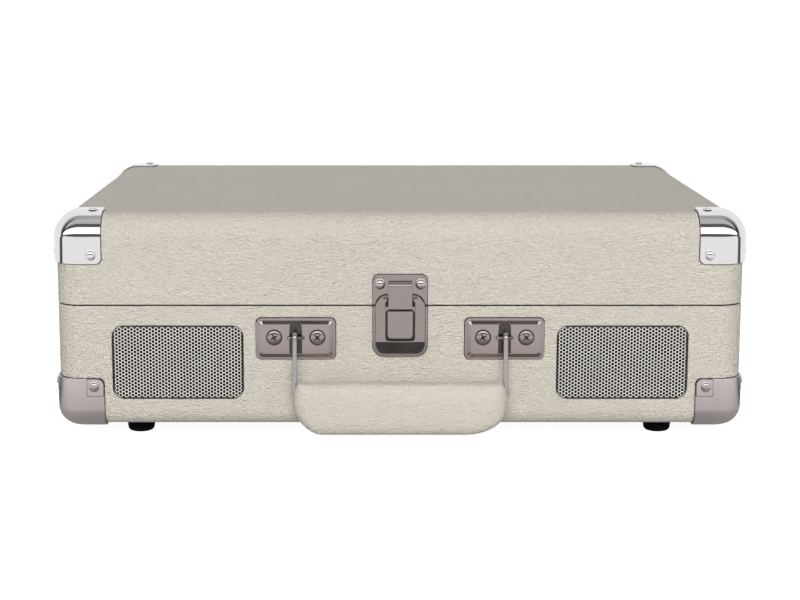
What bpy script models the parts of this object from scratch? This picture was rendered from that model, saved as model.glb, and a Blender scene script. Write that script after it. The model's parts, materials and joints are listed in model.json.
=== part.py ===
"""Suitcase record player, closed, with its handle hanging in front and its interior complete.

Metres, +Z up, the front facing -Y. The origin is on the floor, under the middle of the whole object.
Positions below are measured from the middle of the case's footprint, which the empty record_player holds.
"""

from math import cos, hypot, pi, radians, sin

import bmesh
import bpy
from mathutils import Vector

# Case
CASE_WIDTH = 0.362
CASE_DEPTH = 0.267
CASE_BOTTOM = 0.0085
BASE_HEIGHT = 0.065
LID_HEIGHT = 0.0476
SEAM = 0.0004
WALL = 0.007
LID_WALL = 0.006
LID_ROOF = 0.005
CORNER_RADIUS = 0.0135
TOP_EDGE_RADIUS = 0.0125
BOTTOM_EDGE_RADIUS = 0.009
RIM_RADIUS = 0.0008
GAP = 0.0003  # left between pieces that touch

FRONT = -CASE_DEPTH / 2
BACK = CASE_DEPTH / 2
RIM = CASE_BOTTOM + BASE_HEIGHT
LID_BOTTOM = RIM + SEAM
LID_TOP = LID_BOTTOM + LID_HEIGHT
INNER_WIDTH = CASE_WIDTH - 2 * WALL
INNER_DEPTH = CASE_DEPTH - 2 * WALL

# Metal corners
CAP_REACH_X = 0.025
CAP_REACH_Y = 0.022
CAP_UPPER_HEIGHT = 0.0259
CAP_LOWER_HEIGHT = 0.026
CAP_OUTSIDE = 0.0013

# Speakers
GRILLE_X = 0.117
GRILLE_Z = 0.043
GRILLE_SIZE = (0.0686, 0.039)
GRILLE_CORNER = 0.0058
GRILLE_RECESS = 0.0008
GRILLE_SHEET = 0.0012
SPEAKER_PLATE = (0.074, 0.044)

# Latch, on the front's middle line
LATCH_HALF_WIDTH = 0.0143
HASP_HALF_WIDTH = 0.013
HASP_AXIS_OUT = 0.0031  # in front of the case's face
HASP_AXIS_Z = 0.0784
HASP_BAR_RADIUS = 0.001
HASP_THICKNESS = 0.0012
STRAP_HALF_WIDTH = 0.0063
KEEPER_HALF_WIDTH = 0.0069
SHEET = 0.0008

# Handle
BRACKET_X = 0.0547
BRACKET_Z = 0.0562
BRACKET_SIZE = (0.0418, 0.022)
BRACKET_SLOT = (0.0064, 0.016)
BRACKET_SLOT_FLOOR = 0.00055  # its front, in front of the case's face
HANDLE_AXIS_OUT = 0.0042
HANDLE_AXIS_Z = 0.057
STAPLE_RADIUS = 0.0009
WIRE_RADIUS = 0.0012
EYE_RADIUS = 0.0023
GRIP_SIZE = (0.1125, 0.0275, 0.0165)
GRIP_OUT = 0.0095
GRIP_BOTTOM = 0.007
GRIP_CHANNEL = WIRE_RADIUS + GAP

# Rear hinges
HINGE_X = 0.105
HINGE_AXIS_OUT = 0.0032
HINGE_AXIS_Z = RIM + SEAM / 2
LEAF_WIDTH = 0.034
LEAF_HEIGHT = 0.022
LEAF_THICKNESS = 0.0012
BARREL_RADIUS = 0.0026
BARREL_BORE = 0.0015
PIN_RADIUS = 0.0012
LID_BARREL_LENGTH = 0.014

# Feet
FOOT_POSITION = (0.1405, 0.1055)
FOOT_TOP_RADIUS = 0.008
FOOT_SOLE_RADIUS = 0.0065

# Deck and what stands on it
DECK_TOP = 0.069
DECK_THICKNESS = 0.003
SPINDLE = (-0.048, 0.0)
SPINDLE_RADIUS = 0.00355
PLATTER_RADIUS = 0.098
PLATTER_TOP = 0.0775
DRIVE_RIM_RADIUS = 0.055
PULLEY = (-0.105, 0.057)
PULLEY_RADIUS = 0.004
BELT_THICKNESS = 0.0008
MOTOR_RADIUS = 0.017
ARM_PIVOT = (0.108, 0.062)
ARM_Z = 0.092
ARM_LENGTH = 0.172
ARM_RADIUS = 0.004
REST_Y = -0.045
LIFT_RADIUS = 0.028
CUE_LEVER = (0.134, 0.052)
CUE_Z = 0.077
CLIP_AXIS = (0.1138, 0.0954)
VOLUME_KNOB = (0.150, -0.098)
FUNCTION_KNOB = (0.150, -0.062)
PITCH_KNOB = (0.150, -0.026)
SPEED_SWITCH = (0.060, 0.108)
SPEED_TRAVEL = (-0.005, 0.005)
AUTOSTOP_SWITCH = (0.147, 0.108)
AUTOSTOP_TRAVEL = (0.0, 0.006)
ADAPTER = (-0.146, -0.101)
ADAPTER_RADIUS = 0.019

# Rear sockets
PANEL_X = 0.030
PANEL_Z = 0.042
PANEL_SIZE = (0.0834, 0.0334)
PANEL_Y = 0.1278
RCA_X = (0.008, 0.024)
DC_X = 0.054

# The object's front is the grip's, and its back is the hinge barrels'
FRONT_REACH = CASE_DEPTH / 2 + GRIP_OUT + GRIP_SIZE[2] / 2
BACK_REACH = CASE_DEPTH / 2 + HINGE_AXIS_OUT + BARREL_RADIUS
CASE_SHIFT = (FRONT_REACH - BACK_REACH) / 2

# Colour, roughness and metallic value of each material
MATERIALS = {
    "leatherette": ((0.66, 0.61, 0.53), 0.6, 0.0),
    "chrome": ((0.8, 0.8, 0.8), 0.12, 1.0),
    "nickel": ((0.42, 0.39, 0.38), 0.25, 1.0),
    "grille_metal": ((0.7, 0.67, 0.63), 0.4, 1.0),
    "black_plastic": ((0.02, 0.02, 0.022), 0.45, 0.0),
    "black_rubber": ((0.015, 0.015, 0.015), 0.8, 0.0),
    "felt": ((0.03, 0.03, 0.03), 1.0, 0.0),
    "steel": ((0.6, 0.6, 0.6), 0.3, 1.0),
    "hardboard": ((0.18, 0.11, 0.06), 0.8, 0.0),
    "paper_cone": ((0.04, 0.04, 0.04), 0.9, 0.0),
    "circuit": ((0.03, 0.12, 0.05), 0.5, 0.0),
    "red_plastic": ((0.45, 0.02, 0.02), 0.4, 0.0),
}


def clear_scene():
    for obj in list(bpy.data.objects):
        bpy.data.objects.remove(obj)


def new_collection(name):
    made = bpy.data.collections.new(name)
    bpy.context.scene.collection.children.link(made)
    return made


def new_material(name):
    colour, roughness, metallic = MATERIALS[name]
    made = bpy.data.materials.new(name)
    made.use_nodes = True
    shader = made.node_tree.nodes["Principled BSDF"]
    shader.inputs["Base Color"].default_value = (*colour, 1.0)
    shader.inputs["Roughness"].default_value = roughness
    shader.inputs["Metallic"].default_value = metallic
    return made


clear_scene()
PARTS = new_collection("suitcase_record_player")
CUTTERS = new_collection("cutters")
SHADERS = {name: new_material(name) for name in MATERIALS}
AXES = {}


def pivot(name, position, parent=None):
    """An empty on a joint's axis. Its pieces are given in the case's coordinates and follow it."""
    empty = bpy.data.objects.new(name, None)
    PARTS.objects.link(empty)
    AXES[name] = Vector(position)
    if parent is not None:
        empty.parent = parent
        empty.location = AXES[name] - AXES[parent.name]
    return empty


CASE = pivot("record_player", (0, 0, 0))
CASE.location = (0, CASE_SHIFT, 0)


def place(obj, material, centre=(0, 0, 0), turn=(0, 0, 0), parent=CASE):
    """Links a piece, or with no material a helper that only cuts or joins."""
    obj.parent = parent
    obj.location = Vector(centre) - AXES[parent.name]
    obj.rotation_euler = turn
    if material is None:
        CUTTERS.objects.link(obj)
        obj.hide_render = True
        obj.display_type = "WIRE"
    else:
        PARTS.objects.link(obj)
        obj.data.materials.append(SHADERS[material])
    return obj


def object_of(name, bm):
    mesh = bpy.data.meshes.new(name)
    bm.to_mesh(mesh)
    bm.free()
    return bpy.data.objects.new(name, mesh)


def smooth(obj, degrees=35):
    obj.data.shade_smooth()
    obj.data.set_sharp_from_angle(angle=radians(degrees))
    return obj


def box(name, material, size, centre, **where):
    bm = bmesh.new()
    bmesh.ops.create_cube(bm, size=1.0)
    bmesh.ops.scale(bm, vec=size, verts=bm.verts)
    return place(object_of(name, bm), material, centre, **where)


def cylinder(name, material, radius, height, centre, sides=24, tip_radius=None, **where):
    """Stands along Z before it is turned; tip_radius is its radius at the top."""
    bm = bmesh.new()
    top = radius if tip_radius is None else tip_radius
    bmesh.ops.create_cone(bm, cap_ends=True, segments=sides, radius1=radius, radius2=top, depth=height)
    return smooth(place(object_of(name, bm), material, centre, **where))


def bevel_edges(bm, edges, radius, steps):
    if radius > 0:
        bmesh.ops.bevel(bm, geom=edges, offset=radius, segments=steps, profile=0.5, affect="EDGES")


def rounded_block(name, material, size, centre, corner, top=0.0, bottom=0.0, steps=(6, 3), **where):
    """A block with rounded upright edges. The corner may be (front, back) radii, and rims may be round."""
    low_corner, high_corner = corner if isinstance(corner, tuple) else (corner, corner)
    bm = bmesh.new()
    bmesh.ops.create_cube(bm, size=1.0)
    bmesh.ops.scale(bm, vec=size, verts=bm.verts)
    upright = [e for e in bm.edges if abs(e.verts[0].co.z - e.verts[1].co.z) > size[2] / 2]
    front = [e for e in upright if e.verts[0].co.y < 0]
    back = [e for e in upright if e.verts[0].co.y > 0]
    bevel_edges(bm, front, low_corner, steps[0])
    bevel_edges(bm, back, high_corner, steps[0])
    for level, radius in ((size[2] / 2, top), (-size[2] / 2, bottom)):
        rim = [e for e in bm.edges if all(abs(v.co.z - level) < 1e-6 for v in e.verts)]
        bevel_edges(bm, rim, radius, steps[1])
    return smooth(place(object_of(name, bm), material, centre, **where))


def arc(centre, radius, start, end, steps):
    """Points along an arc, from the start angle to the end angle in degrees."""
    angles = [radians(start + (end - start) * i / steps) for i in range(steps + 1)]
    return [(centre[0] + radius * cos(a), centre[1] + radius * sin(a)) for a in angles]


def rounded_rectangle(width, height, radius, steps=4):
    x, y = width / 2 - radius, height / 2 - radius
    corners = (((x, y), 0), ((-x, y), 90), ((-x, -y), 180), ((x, -y), 270))
    return [p for centre, start in corners for p in arc(centre, radius, start, start + 90, steps)]


def mirrored(half):
    """A closed outline from its right half, which starts and ends on the middle line."""
    return half + [(-x, y) for x, y in reversed(half) if abs(x) > 1e-9]


def meshed(curve):
    """The curve object as an unlinked mesh object, with its caps welded on."""
    PARTS.objects.link(curve)
    bpy.context.view_layer.update()
    evaluated = curve.evaluated_get(bpy.context.evaluated_depsgraph_get())
    mesh = bpy.data.meshes.new_from_object(evaluated)
    bm = bmesh.new()
    bm.from_mesh(mesh)
    bmesh.ops.remove_doubles(bm, verts=bm.verts, dist=1e-6)
    bmesh.ops.dissolve_degenerate(bm, edges=bm.edges, dist=1e-7)
    bmesh.ops.recalc_face_normals(bm, faces=bm.faces)
    bm.to_mesh(mesh)
    bm.free()
    name = curve.name
    bpy.data.objects.remove(curve)
    return bpy.data.objects.new(name, mesh)


def prism(name, material, outline, thickness, centre, holes=(), turn=(0, 0, 0), **where):
    """A flat outline in its own XY plane, extruded half the thickness each way along its Z."""
    curve = bpy.data.curves.new(name, "CURVE")
    curve.dimensions = "2D"
    curve.fill_mode = "BOTH"
    curve.extrude = thickness / 2
    for loop in (outline, *holes):
        spline = curve.splines.new("POLY")
        spline.points.add(len(loop) - 1)
        for point, (x, y) in zip(spline.points, loop):
            point.co = (x, y, 0, 1)
        spline.use_cyclic_u = True
    obj = meshed(bpy.data.objects.new(name, curve))
    return smooth(place(obj, material, centre, turn=turn, **where))


def wire(name, material, points, radius, sides=2, **where):
    """A round wire through the points, which are in the case's coordinates."""
    curve = bpy.data.curves.new(name, "CURVE")
    curve.dimensions = "3D"
    curve.bevel_depth = radius
    curve.bevel_resolution = sides
    curve.use_fill_caps = True
    spline = curve.splines.new("POLY")
    spline.points.add(len(points) - 1)
    for point, position in zip(spline.points, points):
        point.co = (*position, 1)
    return smooth(place(meshed(bpy.data.objects.new(name, curve)), material, **where))


def turned(name, material, profile, centre, ring=False, steps=32, **where):
    """(radius, height) points run from the top, down the outer side. A ring's profile closes on itself."""
    bm = bmesh.new()
    verts = [bm.verts.new((r, 0, z)) for r, z in profile]
    for a, b in zip(verts, verts[1:]):
        bm.edges.new((a, b))
    if ring:
        bm.edges.new((verts[-1], verts[0]))
    obj = object_of(name, bm)
    screw = obj.modifiers.new("turn", "SCREW")
    screw.steps = steps
    screw.render_steps = steps
    screw.use_merge_vertices = True
    screw.merge_threshold = 1e-5
    screw.use_smooth_shade = True
    return place(obj, material, centre, **where)


def boolean(obj, tool, operation):
    modifier = obj.modifiers.new(tool.name, "BOOLEAN")
    modifier.operation = operation
    modifier.solver = "EXACT"
    modifier.object = tool


def cut(obj, *tools):
    for tool in tools:
        boolean(obj, tool, "DIFFERENCE")
    return obj


def join(obj, *tools):
    for tool in tools:
        boolean(obj, tool, "UNION")
    return obj


FACING = (pi / 2, 0, 0)  # turns an outline's Y to the case's Z, and its Z towards the front
ALONG_X = (0, pi / 2, 0)
SIDES = (("left", -1), ("right", 1))


def both_ends(front, back):
    return (("front", front), ("back", back))


# The wooden case


def make_base():
    middle = CASE_BOTTOM + BASE_HEIGHT / 2
    tub = rounded_block(
        "base_tub",
        "leatherette",
        (CASE_WIDTH, CASE_DEPTH, BASE_HEIGHT),
        (0, 0, middle),
        CORNER_RADIUS,
        top=RIM_RADIUS,
        bottom=BOTTOM_EDGE_RADIUS,
        steps=(5, 4),
    )
    inner = rounded_block(
        "base_hollow", None, (INNER_WIDTH, INNER_DEPTH, 2 * BASE_HEIGHT), (0, 0, middle), CORNER_RADIUS - WALL
    )
    cut(tub, inner)
    width, height = (side + 2 * GAP for side in GRILLE_SIZE)
    for side, sign in SIDES:
        window = rounded_rectangle(width, height, GRILLE_CORNER + GAP)
        centre = (sign * GRILLE_X, FRONT, GRILLE_Z)
        cut(tub, prism(f"grille_window_{side}", None, window, 4 * WALL, centre, turn=FACING))
    socket_window = rounded_rectangle(PANEL_SIZE[0] + 2 * GAP, PANEL_SIZE[1] + 2 * GAP, 0.003)
    cut(tub, prism("socket_window", None, socket_window, 4 * WALL, (PANEL_X, BACK, PANEL_Z), turn=FACING))

    size = (INNER_WIDTH - 2 * GAP, INNER_DEPTH - 2 * GAP, 0.004)
    rounded_block("bottom_panel", "hardboard", size, (0, 0, CASE_BOTTOM + 0.003), CORNER_RADIUS - WALL)


def make_lid(lid):
    shell = rounded_block(
        "lid_shell",
        "leatherette",
        (CASE_WIDTH, CASE_DEPTH, LID_HEIGHT),
        (0, 0, LID_BOTTOM + LID_HEIGHT / 2),
        CORNER_RADIUS,
        top=TOP_EDGE_RADIUS,
        bottom=RIM_RADIUS,
        steps=(5, 4),
        parent=lid,
    )
    hollow_top = LID_TOP - LID_ROOF
    hollow_height = 2 * LID_HEIGHT
    hollow = rounded_block(
        "lid_hollow",
        None,
        (CASE_WIDTH - 2 * LID_WALL, CASE_DEPTH - 2 * LID_WALL, hollow_height),
        (0, 0, hollow_top - hollow_height / 2),
        CORNER_RADIUS - LID_WALL,
        top=0.006,
        steps=(4, 3),
        parent=lid,
    )
    cut(shell, hollow)


def make_corner(name, x_sign, y_sign, upper, parent):
    """A pressed metal corner: a rounded skin over the case's corner, with three straight edges."""
    if upper:
        middle, height, rounding = LID_BOTTOM + LID_HEIGHT / 2, LID_HEIGHT, TOP_EDGE_RADIUS
        edge = LID_TOP - CAP_UPPER_HEIGHT
    else:
        middle, height, rounding = CASE_BOTTOM + BASE_HEIGHT / 2, BASE_HEIGHT, BOTTOM_EDGE_RADIUS
        edge = CASE_BOTTOM + CAP_LOWER_HEIGHT
    vertical = 1 if upper else -1

    def skin(label, material, out):
        size = (CASE_WIDTH + 2 * out, CASE_DEPTH + 2 * out, height + 2 * out)
        rims = {"top" if upper else "bottom": rounding + out}
        where = {"parent": parent, "steps": (5, 4)}
        return rounded_block(label, material, size, (0, 0, middle), CORNER_RADIUS + out, **rims, **where)

    cap = skin(name, "chrome" if upper else "nickel", CAP_OUTSIDE)
    cut(cap, skin(name + "_inside", None, GAP))
    block = 0.1
    centre = (
        x_sign * (CASE_WIDTH / 2 - CAP_REACH_X + block / 2),
        y_sign * (CASE_DEPTH / 2 - CAP_REACH_Y + block / 2),
        edge + vertical * block / 2,
    )
    corner = box(name + "_region", None, (block,) * 3, centre, parent=parent)
    boolean(cap, corner, "INTERSECT")


def make_corners(lid):
    for side, x_sign in SIDES:
        for end, y_sign in both_ends(-1, 1):
            make_corner(f"corner_lower_{end}_{side}", x_sign, y_sign, False, CASE)
            make_corner(f"corner_upper_{end}_{side}", x_sign, y_sign, True, lid)


def make_feet():
    top = CASE_BOTTOM + 0.001 - GAP
    for side, x_sign in SIDES:
        for end, y_sign in both_ends(-1, 1):
            centre = (x_sign * FOOT_POSITION[0], y_sign * FOOT_POSITION[1], top / 2)
            size = {"tip_radius": FOOT_TOP_RADIUS, "sides": 24}
            cylinder(f"foot_{end}_{side}", "black_rubber", FOOT_SOLE_RADIUS, top, centre, **size)


# Speakers


def make_speaker(side, sign):
    """The grille is a pan set into the wall with a flange behind it, and the driver is behind that."""
    x = sign * GRILLE_X
    face = FRONT + GRILLE_RECESS
    wall_back = FRONT + WALL
    depth = wall_back + GAP + 0.001 - face
    pan = prism(
        f"grille_{side}",
        "grille_metal",
        rounded_rectangle(*GRILLE_SIZE, GRILLE_CORNER),
        depth,
        (x, face + depth / 2, GRILLE_Z),
        turn=FACING,
    )
    flange = rounded_rectangle(0.078, SPEAKER_PLATE[1], 0.004)
    flange_y = wall_back + GAP + 0.0005
    join(pan, prism(f"grille_flange_{side}", None, flange, 0.001, (x, flange_y, GRILLE_Z), turn=FACING))
    inside = [length - 2 * GRILLE_SHEET for length in GRILLE_SIZE]
    hollow = rounded_rectangle(*inside, GRILLE_CORNER - GRILLE_SHEET)
    hollow_y = face + GRILLE_SHEET + 2 * WALL
    cut(pan, prism(f"grille_hollow_{side}", None, hollow, 4 * WALL, (x, hollow_y, GRILLE_Z), turn=FACING))

    back = flange_y + 0.0005 + GAP  # the driver's mounting face
    cone_radius, throat = 0.0188, 0.009
    to_front = {"turn": (pi / 2, 0, 0)}  # a turned profile's height points to the front
    basket = turned(
        f"speaker_driver_{side}",
        "steel",
        [
            (cone_radius + 0.0002, 0),
            (cone_radius + 0.0022, 0),
            (cone_radius + 0.0022, -0.004),
            (throat + 0.004, -0.013),
            (0.016, -0.013),
            (0.016, -0.024),
            (0, -0.024),
            (0, -0.0125),
            (throat, -0.0125),
            (throat, -0.0115),
            (cone_radius + 0.0002, -0.0035),
        ],
        (x, back, GRILLE_Z),
        ring=True,
        steps=28,
        **to_front,
    )
    hole = arc((0, 0), cone_radius + 0.0012, 0, 360 - 360 / 28, 27)
    plate = rounded_rectangle(*SPEAKER_PLATE, 0.004)
    plate_centre = (x, back + 0.001, GRILLE_Z)
    join(basket, prism(f"speaker_plate_{side}", None, plate, 0.002, plate_centre, holes=[hole], turn=FACING))
    turned(
        f"speaker_cone_{side}",
        "paper_cone",
        [
            (0, -0.0045),
            (0.005, -0.0055),
            (0.0075, -0.0075),
            (0.0165, -0.0022),
            (0.0175, -0.001),
            (cone_radius - 0.0003, -0.001),
            (cone_radius - 0.0003, -0.0018),
            (0.0172, -0.0026),
            (0.0076, -0.0085),
            (0, -0.0085),
        ],
        (x, back, GRILLE_Z),
        steps=28,
        **to_front,
    )


# Latch


def make_latch(lid, hasp):
    plate_y = FRONT - GAP - SHEET / 2
    low, high = 0.0459, RIM - GAP
    lower_corner = arc((LATCH_HALF_WIDTH - 0.006, low + 0.006), 0.006, -90, 0, 4)
    half = [(0, low), *lower_corner, (LATCH_HALF_WIDTH, high)]
    keeper = prism(
        "latch_keeper_plate", "nickel", mirrored([*half, (0, high)]), SHEET, (0, plate_y, 0), turn=FACING
    )
    boss_low, boss_high, boss_out = 0.0559, 0.0712, 0.0022
    half = [(0, boss_low), *arc((KEEPER_HALF_WIDTH - 0.002, boss_low + 0.002), 0.002, -90, 0, 3)]
    half += [(KEEPER_HALF_WIDTH, boss_high), (0, boss_high)]
    boss_back = FRONT - GAP - SHEET / 2
    boss_depth = boss_back - (FRONT - boss_out)
    boss_centre = (0, boss_back - boss_depth / 2, 0)
    join(keeper, prism("keeper_boss", None, mirrored(half), boss_depth, boss_centre, turn=FACING))

    low, high = LID_BOTTOM + GAP, 0.0902
    upper_corner = arc((LATCH_HALF_WIDTH - 0.0035, high - 0.0035), 0.0035, 0, 90, 4)
    outline = mirrored([(0, low), (LATCH_HALF_WIDTH, low), *upper_corner, (0, high)])
    place = {"turn": FACING, "parent": lid}
    plate = prism("latch_lid_plate", "nickel", outline, SHEET, (0, plate_y, 0), **place)
    # The strap's side view, as distances in front of the case's face against heights
    strap = [(0.0009, 0.086), (0.0037, 0.086), (0.0051, 0.0848), (0.0051, 0.0726), (0.0044, 0.0719)]
    strap += [(0.0025, 0.0719), (0.0019, 0.0726), (0.0019, 0.0746), (0.0009, 0.0746)]
    sideways = (pi / 2, 0, -pi / 2)  # turns an outline's X to the front and its Y up
    where = {"turn": sideways, "parent": lid}
    join(plate, prism("latch_strap", None, strap, 2 * STRAP_HALF_WIDTH, (0, FRONT, 0), **where))
    axis = (0, FRONT - HASP_AXIS_OUT, HASP_AXIS_Z)
    bore = HASP_BAR_RADIUS + GAP + 0.0001
    cut(plate, cylinder("strap_bore", None, bore, 0.04, axis, sides=16, turn=ALONG_X, parent=lid))

    bottom, shoulder = 0.0475, HASP_AXIS_Z + 0.0012
    inner, window_low = 0.0077, 0.0552
    half = [(0, bottom), *arc((HASP_HALF_WIDTH - 0.0045, bottom + 0.0045), 0.0045, -90, 0, 4)]
    half += arc((HASP_HALF_WIDTH - 0.0063, shoulder - 0.0063), 0.0063, 0, 90, 5)
    half += [(0.0067, 0.0765), (inner, 0.0755)]
    half += [*arc((inner - 0.0025, window_low + 0.0025), 0.0025, 0, -90, 3), (0, window_low)]
    centre = (0, axis[1], 0)
    frame = prism("latch_hasp", "nickel", mirrored(half), HASP_THICKNESS, centre, turn=FACING, parent=hasp)
    join(frame, cylinder("hasp_bar", None, HASP_BAR_RADIUS, 0.018, axis, sides=12, turn=ALONG_X, parent=hasp))


# Handle


def make_bracket(side, sign):
    """A pressed plate with a slot, and a staple across the slot that the handle's eye turns on."""
    x = sign * BRACKET_X
    back = FRONT - GAP
    plate = rounded_block(
        f"handle_bracket_{side}",
        "nickel",
        (BRACKET_SIZE[0], BRACKET_SIZE[1], 0.001),
        (x, back - 0.0005, BRACKET_Z),
        0.0025,
        steps=(3, 1),
        turn=FACING,
    )
    pad_size = (BRACKET_SIZE[0] - 0.0044, BRACKET_SIZE[1] - 0.0044, 0.0018)
    pad_centre = (x, back - 0.0015, BRACKET_Z)
    pad = rounded_block(f"bracket_pad_{side}", None, pad_size, pad_centre, 0.002, steps=(3, 1), turn=FACING)
    join(plate, pad)
    slot_width, slot_height = BRACKET_SLOT
    slot_z = HANDLE_AXIS_Z
    slot_depth = 0.01
    slot_centre = (x, FRONT - BRACKET_SLOT_FLOOR - slot_depth / 2, slot_z)
    cut(plate, box(f"bracket_slot_{side}", None, (slot_width, slot_depth, slot_height), slot_centre))
    staple_y = FRONT - HANDLE_AXIS_OUT
    for end in (-1, 1):
        ear_x = x + end * (slot_width / 2 + 0.0006)
        ear_back = back - 0.0012
        ear_front = staple_y - 0.0007
        size = (0.0011, ear_back - ear_front, 0.0022)
        join(plate, box(f"bracket_ear_{side}_{end}", None, size, (ear_x, (ear_back + ear_front) / 2, slot_z)))
    bar = cylinder(
        f"bracket_staple_{side}", None, STAPLE_RADIUS, 0.0083, (x, staple_y, slot_z), sides=12, turn=ALONG_X
    )
    join(plate, bar)


def bail_route():
    """The handle's steel wire: an eye round each staple, a leg down from it, and a run through the grip."""
    y, z = FRONT - HANDLE_AXIS_OUT, HANDLE_AXIS_Z
    eye = [(y - EYE_RADIUS * cos(radians(a)), z + EYE_RADIUS * sin(radians(a))) for a in range(225, -1, -25)]
    grip_y = FRONT - GRIP_OUT
    run_z = GRIP_BOTTOM + 0.018
    bend = 0.004
    corner = [(BRACKET_X - bend + dx, run_z + bend + dz) for dx, dz in arc((0, 0), bend, 0, -90, 4)]
    half = [(BRACKET_X, *point) for point in eye] + [(cx, grip_y, cz) for cx, cz in corner]
    return half + [(-px, py, pz) for px, py, pz in reversed(half)]


def make_handle(handle):
    route = bail_route()
    wire("handle_bail", "steel", route, WIRE_RADIUS, parent=handle, centre=(0, 0, 0))
    grip = rounded_block(
        "handle_grip",
        "leatherette",
        GRIP_SIZE,
        (0, FRONT - GRIP_OUT, GRIP_BOTTOM + GRIP_SIZE[1] / 2),
        (0.017, 0.0065),
        top=0.0052,
        bottom=0.0052,
        steps=(5, 3),
        turn=FACING,
        parent=handle,
    )
    cut(grip, wire("bail_channel", None, route, GRIP_CHANNEL, parent=handle, centre=(0, 0, 0)))


# Hinges


def make_hinge(side, sign, lid):
    x = sign * HINGE_X
    y, z = BACK + HINGE_AXIS_OUT, HINGE_AXIS_Z
    leaf_y = BACK + GAP + LEAF_THICKNESS / 2
    clear = BARREL_RADIUS + GAP
    end_length = (LEAF_WIDTH - LID_BARREL_LENGTH) / 2 - 0.0004
    end_x = LEAF_WIDTH / 2 - end_length / 2

    def leaf(name, vertical, knuckles, parent):
        """vertical is -1 below the axis and 1 above it; knuckles are (offset along X, length)."""
        plate_z = z + vertical * (clear + LEAF_HEIGHT / 2)
        made = box(
            name, "nickel", (LEAF_WIDTH, LEAF_THICKNESS, LEAF_HEIGHT), (x, leaf_y, plate_z), parent=parent
        )
        for number, (offset, length) in enumerate(knuckles):
            label = f"{name}_knuckle_{number}"
            tab_z = z + vertical * clear / 2
            tab = (length, LEAF_THICKNESS, clear + 0.001)
            join(made, box(label + "_tab", None, tab, (x + offset, leaf_y, tab_z), parent=parent))
            where = {"sides": 20, "turn": ALONG_X, "parent": parent}
            join(made, cylinder(label, None, BARREL_RADIUS, length, (x + offset, y, z), **where))
        bore = {"sides": 16, "turn": ALONG_X, "parent": parent}
        return cut(made, cylinder(name + "_bore", None, BARREL_BORE, 0.05, (x, y, z), **bore))

    leaf(f"hinge_base_leaf_{side}", -1, [(-end_x, end_length), (end_x, end_length)], CASE)
    leaf(f"hinge_lid_leaf_{side}", 1, [(0, LID_BARREL_LENGTH)], lid)
    cylinder(f"hinge_pin_{side}", "steel", PIN_RADIUS, LEAF_WIDTH, (x, y, z), sides=16, turn=ALONG_X)


# Deck


def hole(name, x, y, radius, sides=24):
    return cylinder(name, None, radius, 0.02, (x, y, DECK_TOP), sides=sides)


def lift_post():
    """The cue platform's post stands on the lift circle, just outside the arm's resting place."""
    angle = radians(14)
    return (ARM_PIVOT[0] + LIFT_RADIUS * sin(angle), ARM_PIVOT[1] - LIFT_RADIUS * cos(angle))


def make_deck():
    size = (INNER_WIDTH - 2 * GAP, INNER_DEPTH - 2 * GAP, DECK_THICKNESS)
    centre = (0, 0, DECK_TOP - DECK_THICKNESS / 2)
    deck = rounded_block("deck_plate", "black_plastic", size, centre, CORNER_RADIUS - WALL)
    cut(deck, hole("spindle_hole", *SPINDLE, 0.0046), hole("pulley_hole", *PULLEY, 0.0075))
    cut(deck, hole("lift_hole", *lift_post(), 0.0026, 16))
    for name, spot in (("volume", VOLUME_KNOB), ("function", FUNCTION_KNOB), ("pitch", PITCH_KNOB)):
        cut(deck, hole(f"{name}_hole", *spot, 0.0034, 16))
    switches = (("speed", SPEED_SWITCH, SPEED_TRAVEL), ("autostop", AUTOSTOP_SWITCH, AUTOSTOP_TRAVEL))
    for name, (x, y), (low, high) in switches:
        slot = (high - low + 0.0055, 0.0034, 0.02)
        cut(deck, box(f"{name}_slot", None, slot, (x + (low + high) / 2, y, DECK_TOP)))
    recess_depth = 0.0015
    recess = (ADAPTER[0], ADAPTER[1], DECK_TOP + 0.01 - recess_depth)
    cut(deck, cylinder("adapter_recess", None, ADAPTER_RADIUS + 0.0006, 0.02, recess, sides=32))


def make_platter(platter):
    x, y = SPINDLE
    bore = SPINDLE_RADIUS + 0.00035
    underside = PLATTER_TOP - 0.0025
    profile = [
        (bore, PLATTER_TOP),
        (PLATTER_RADIUS - 0.001, PLATTER_TOP),
        (PLATTER_RADIUS, PLATTER_TOP - 0.001),
        (PLATTER_RADIUS, 0.0708),
        (PLATTER_RADIUS - 0.0025, 0.0708),
        (PLATTER_RADIUS - 0.0025, underside),
        (DRIVE_RIM_RADIUS, underside),
        (DRIVE_RIM_RADIUS, 0.0702),
        (DRIVE_RIM_RADIUS - 0.0025, 0.0702),
        (DRIVE_RIM_RADIUS - 0.0025, underside),
        (0.009, underside),
        (0.009, 0.0696),
        (bore, 0.0696),
    ]
    turned("platter", "black_plastic", profile, (x, y, 0), ring=True, steps=48, parent=platter)
    mat_low, mat_high = PLATTER_TOP + GAP, PLATTER_TOP + 0.0021
    mat = [(bore, mat_high), (0.0935, mat_high), (0.094, mat_low), (bore, mat_low)]
    turned("slipmat", "felt", mat, (x, y, 0), ring=True, steps=48, parent=platter)
    tip = 0.092
    shaft = SPINDLE_RADIUS
    spindle = [(0, tip), (shaft * 0.5, tip - 0.0004), (shaft * 0.87, tip - 0.0018), (shaft, tip - 0.004)]
    spindle += [(shaft, 0.0656), (0.012, 0.0656), (0.012, 0.0625), (0, 0.0625)]
    turned("platter_spindle", "steel", spindle, (x, y, 0), steps=24)


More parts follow.
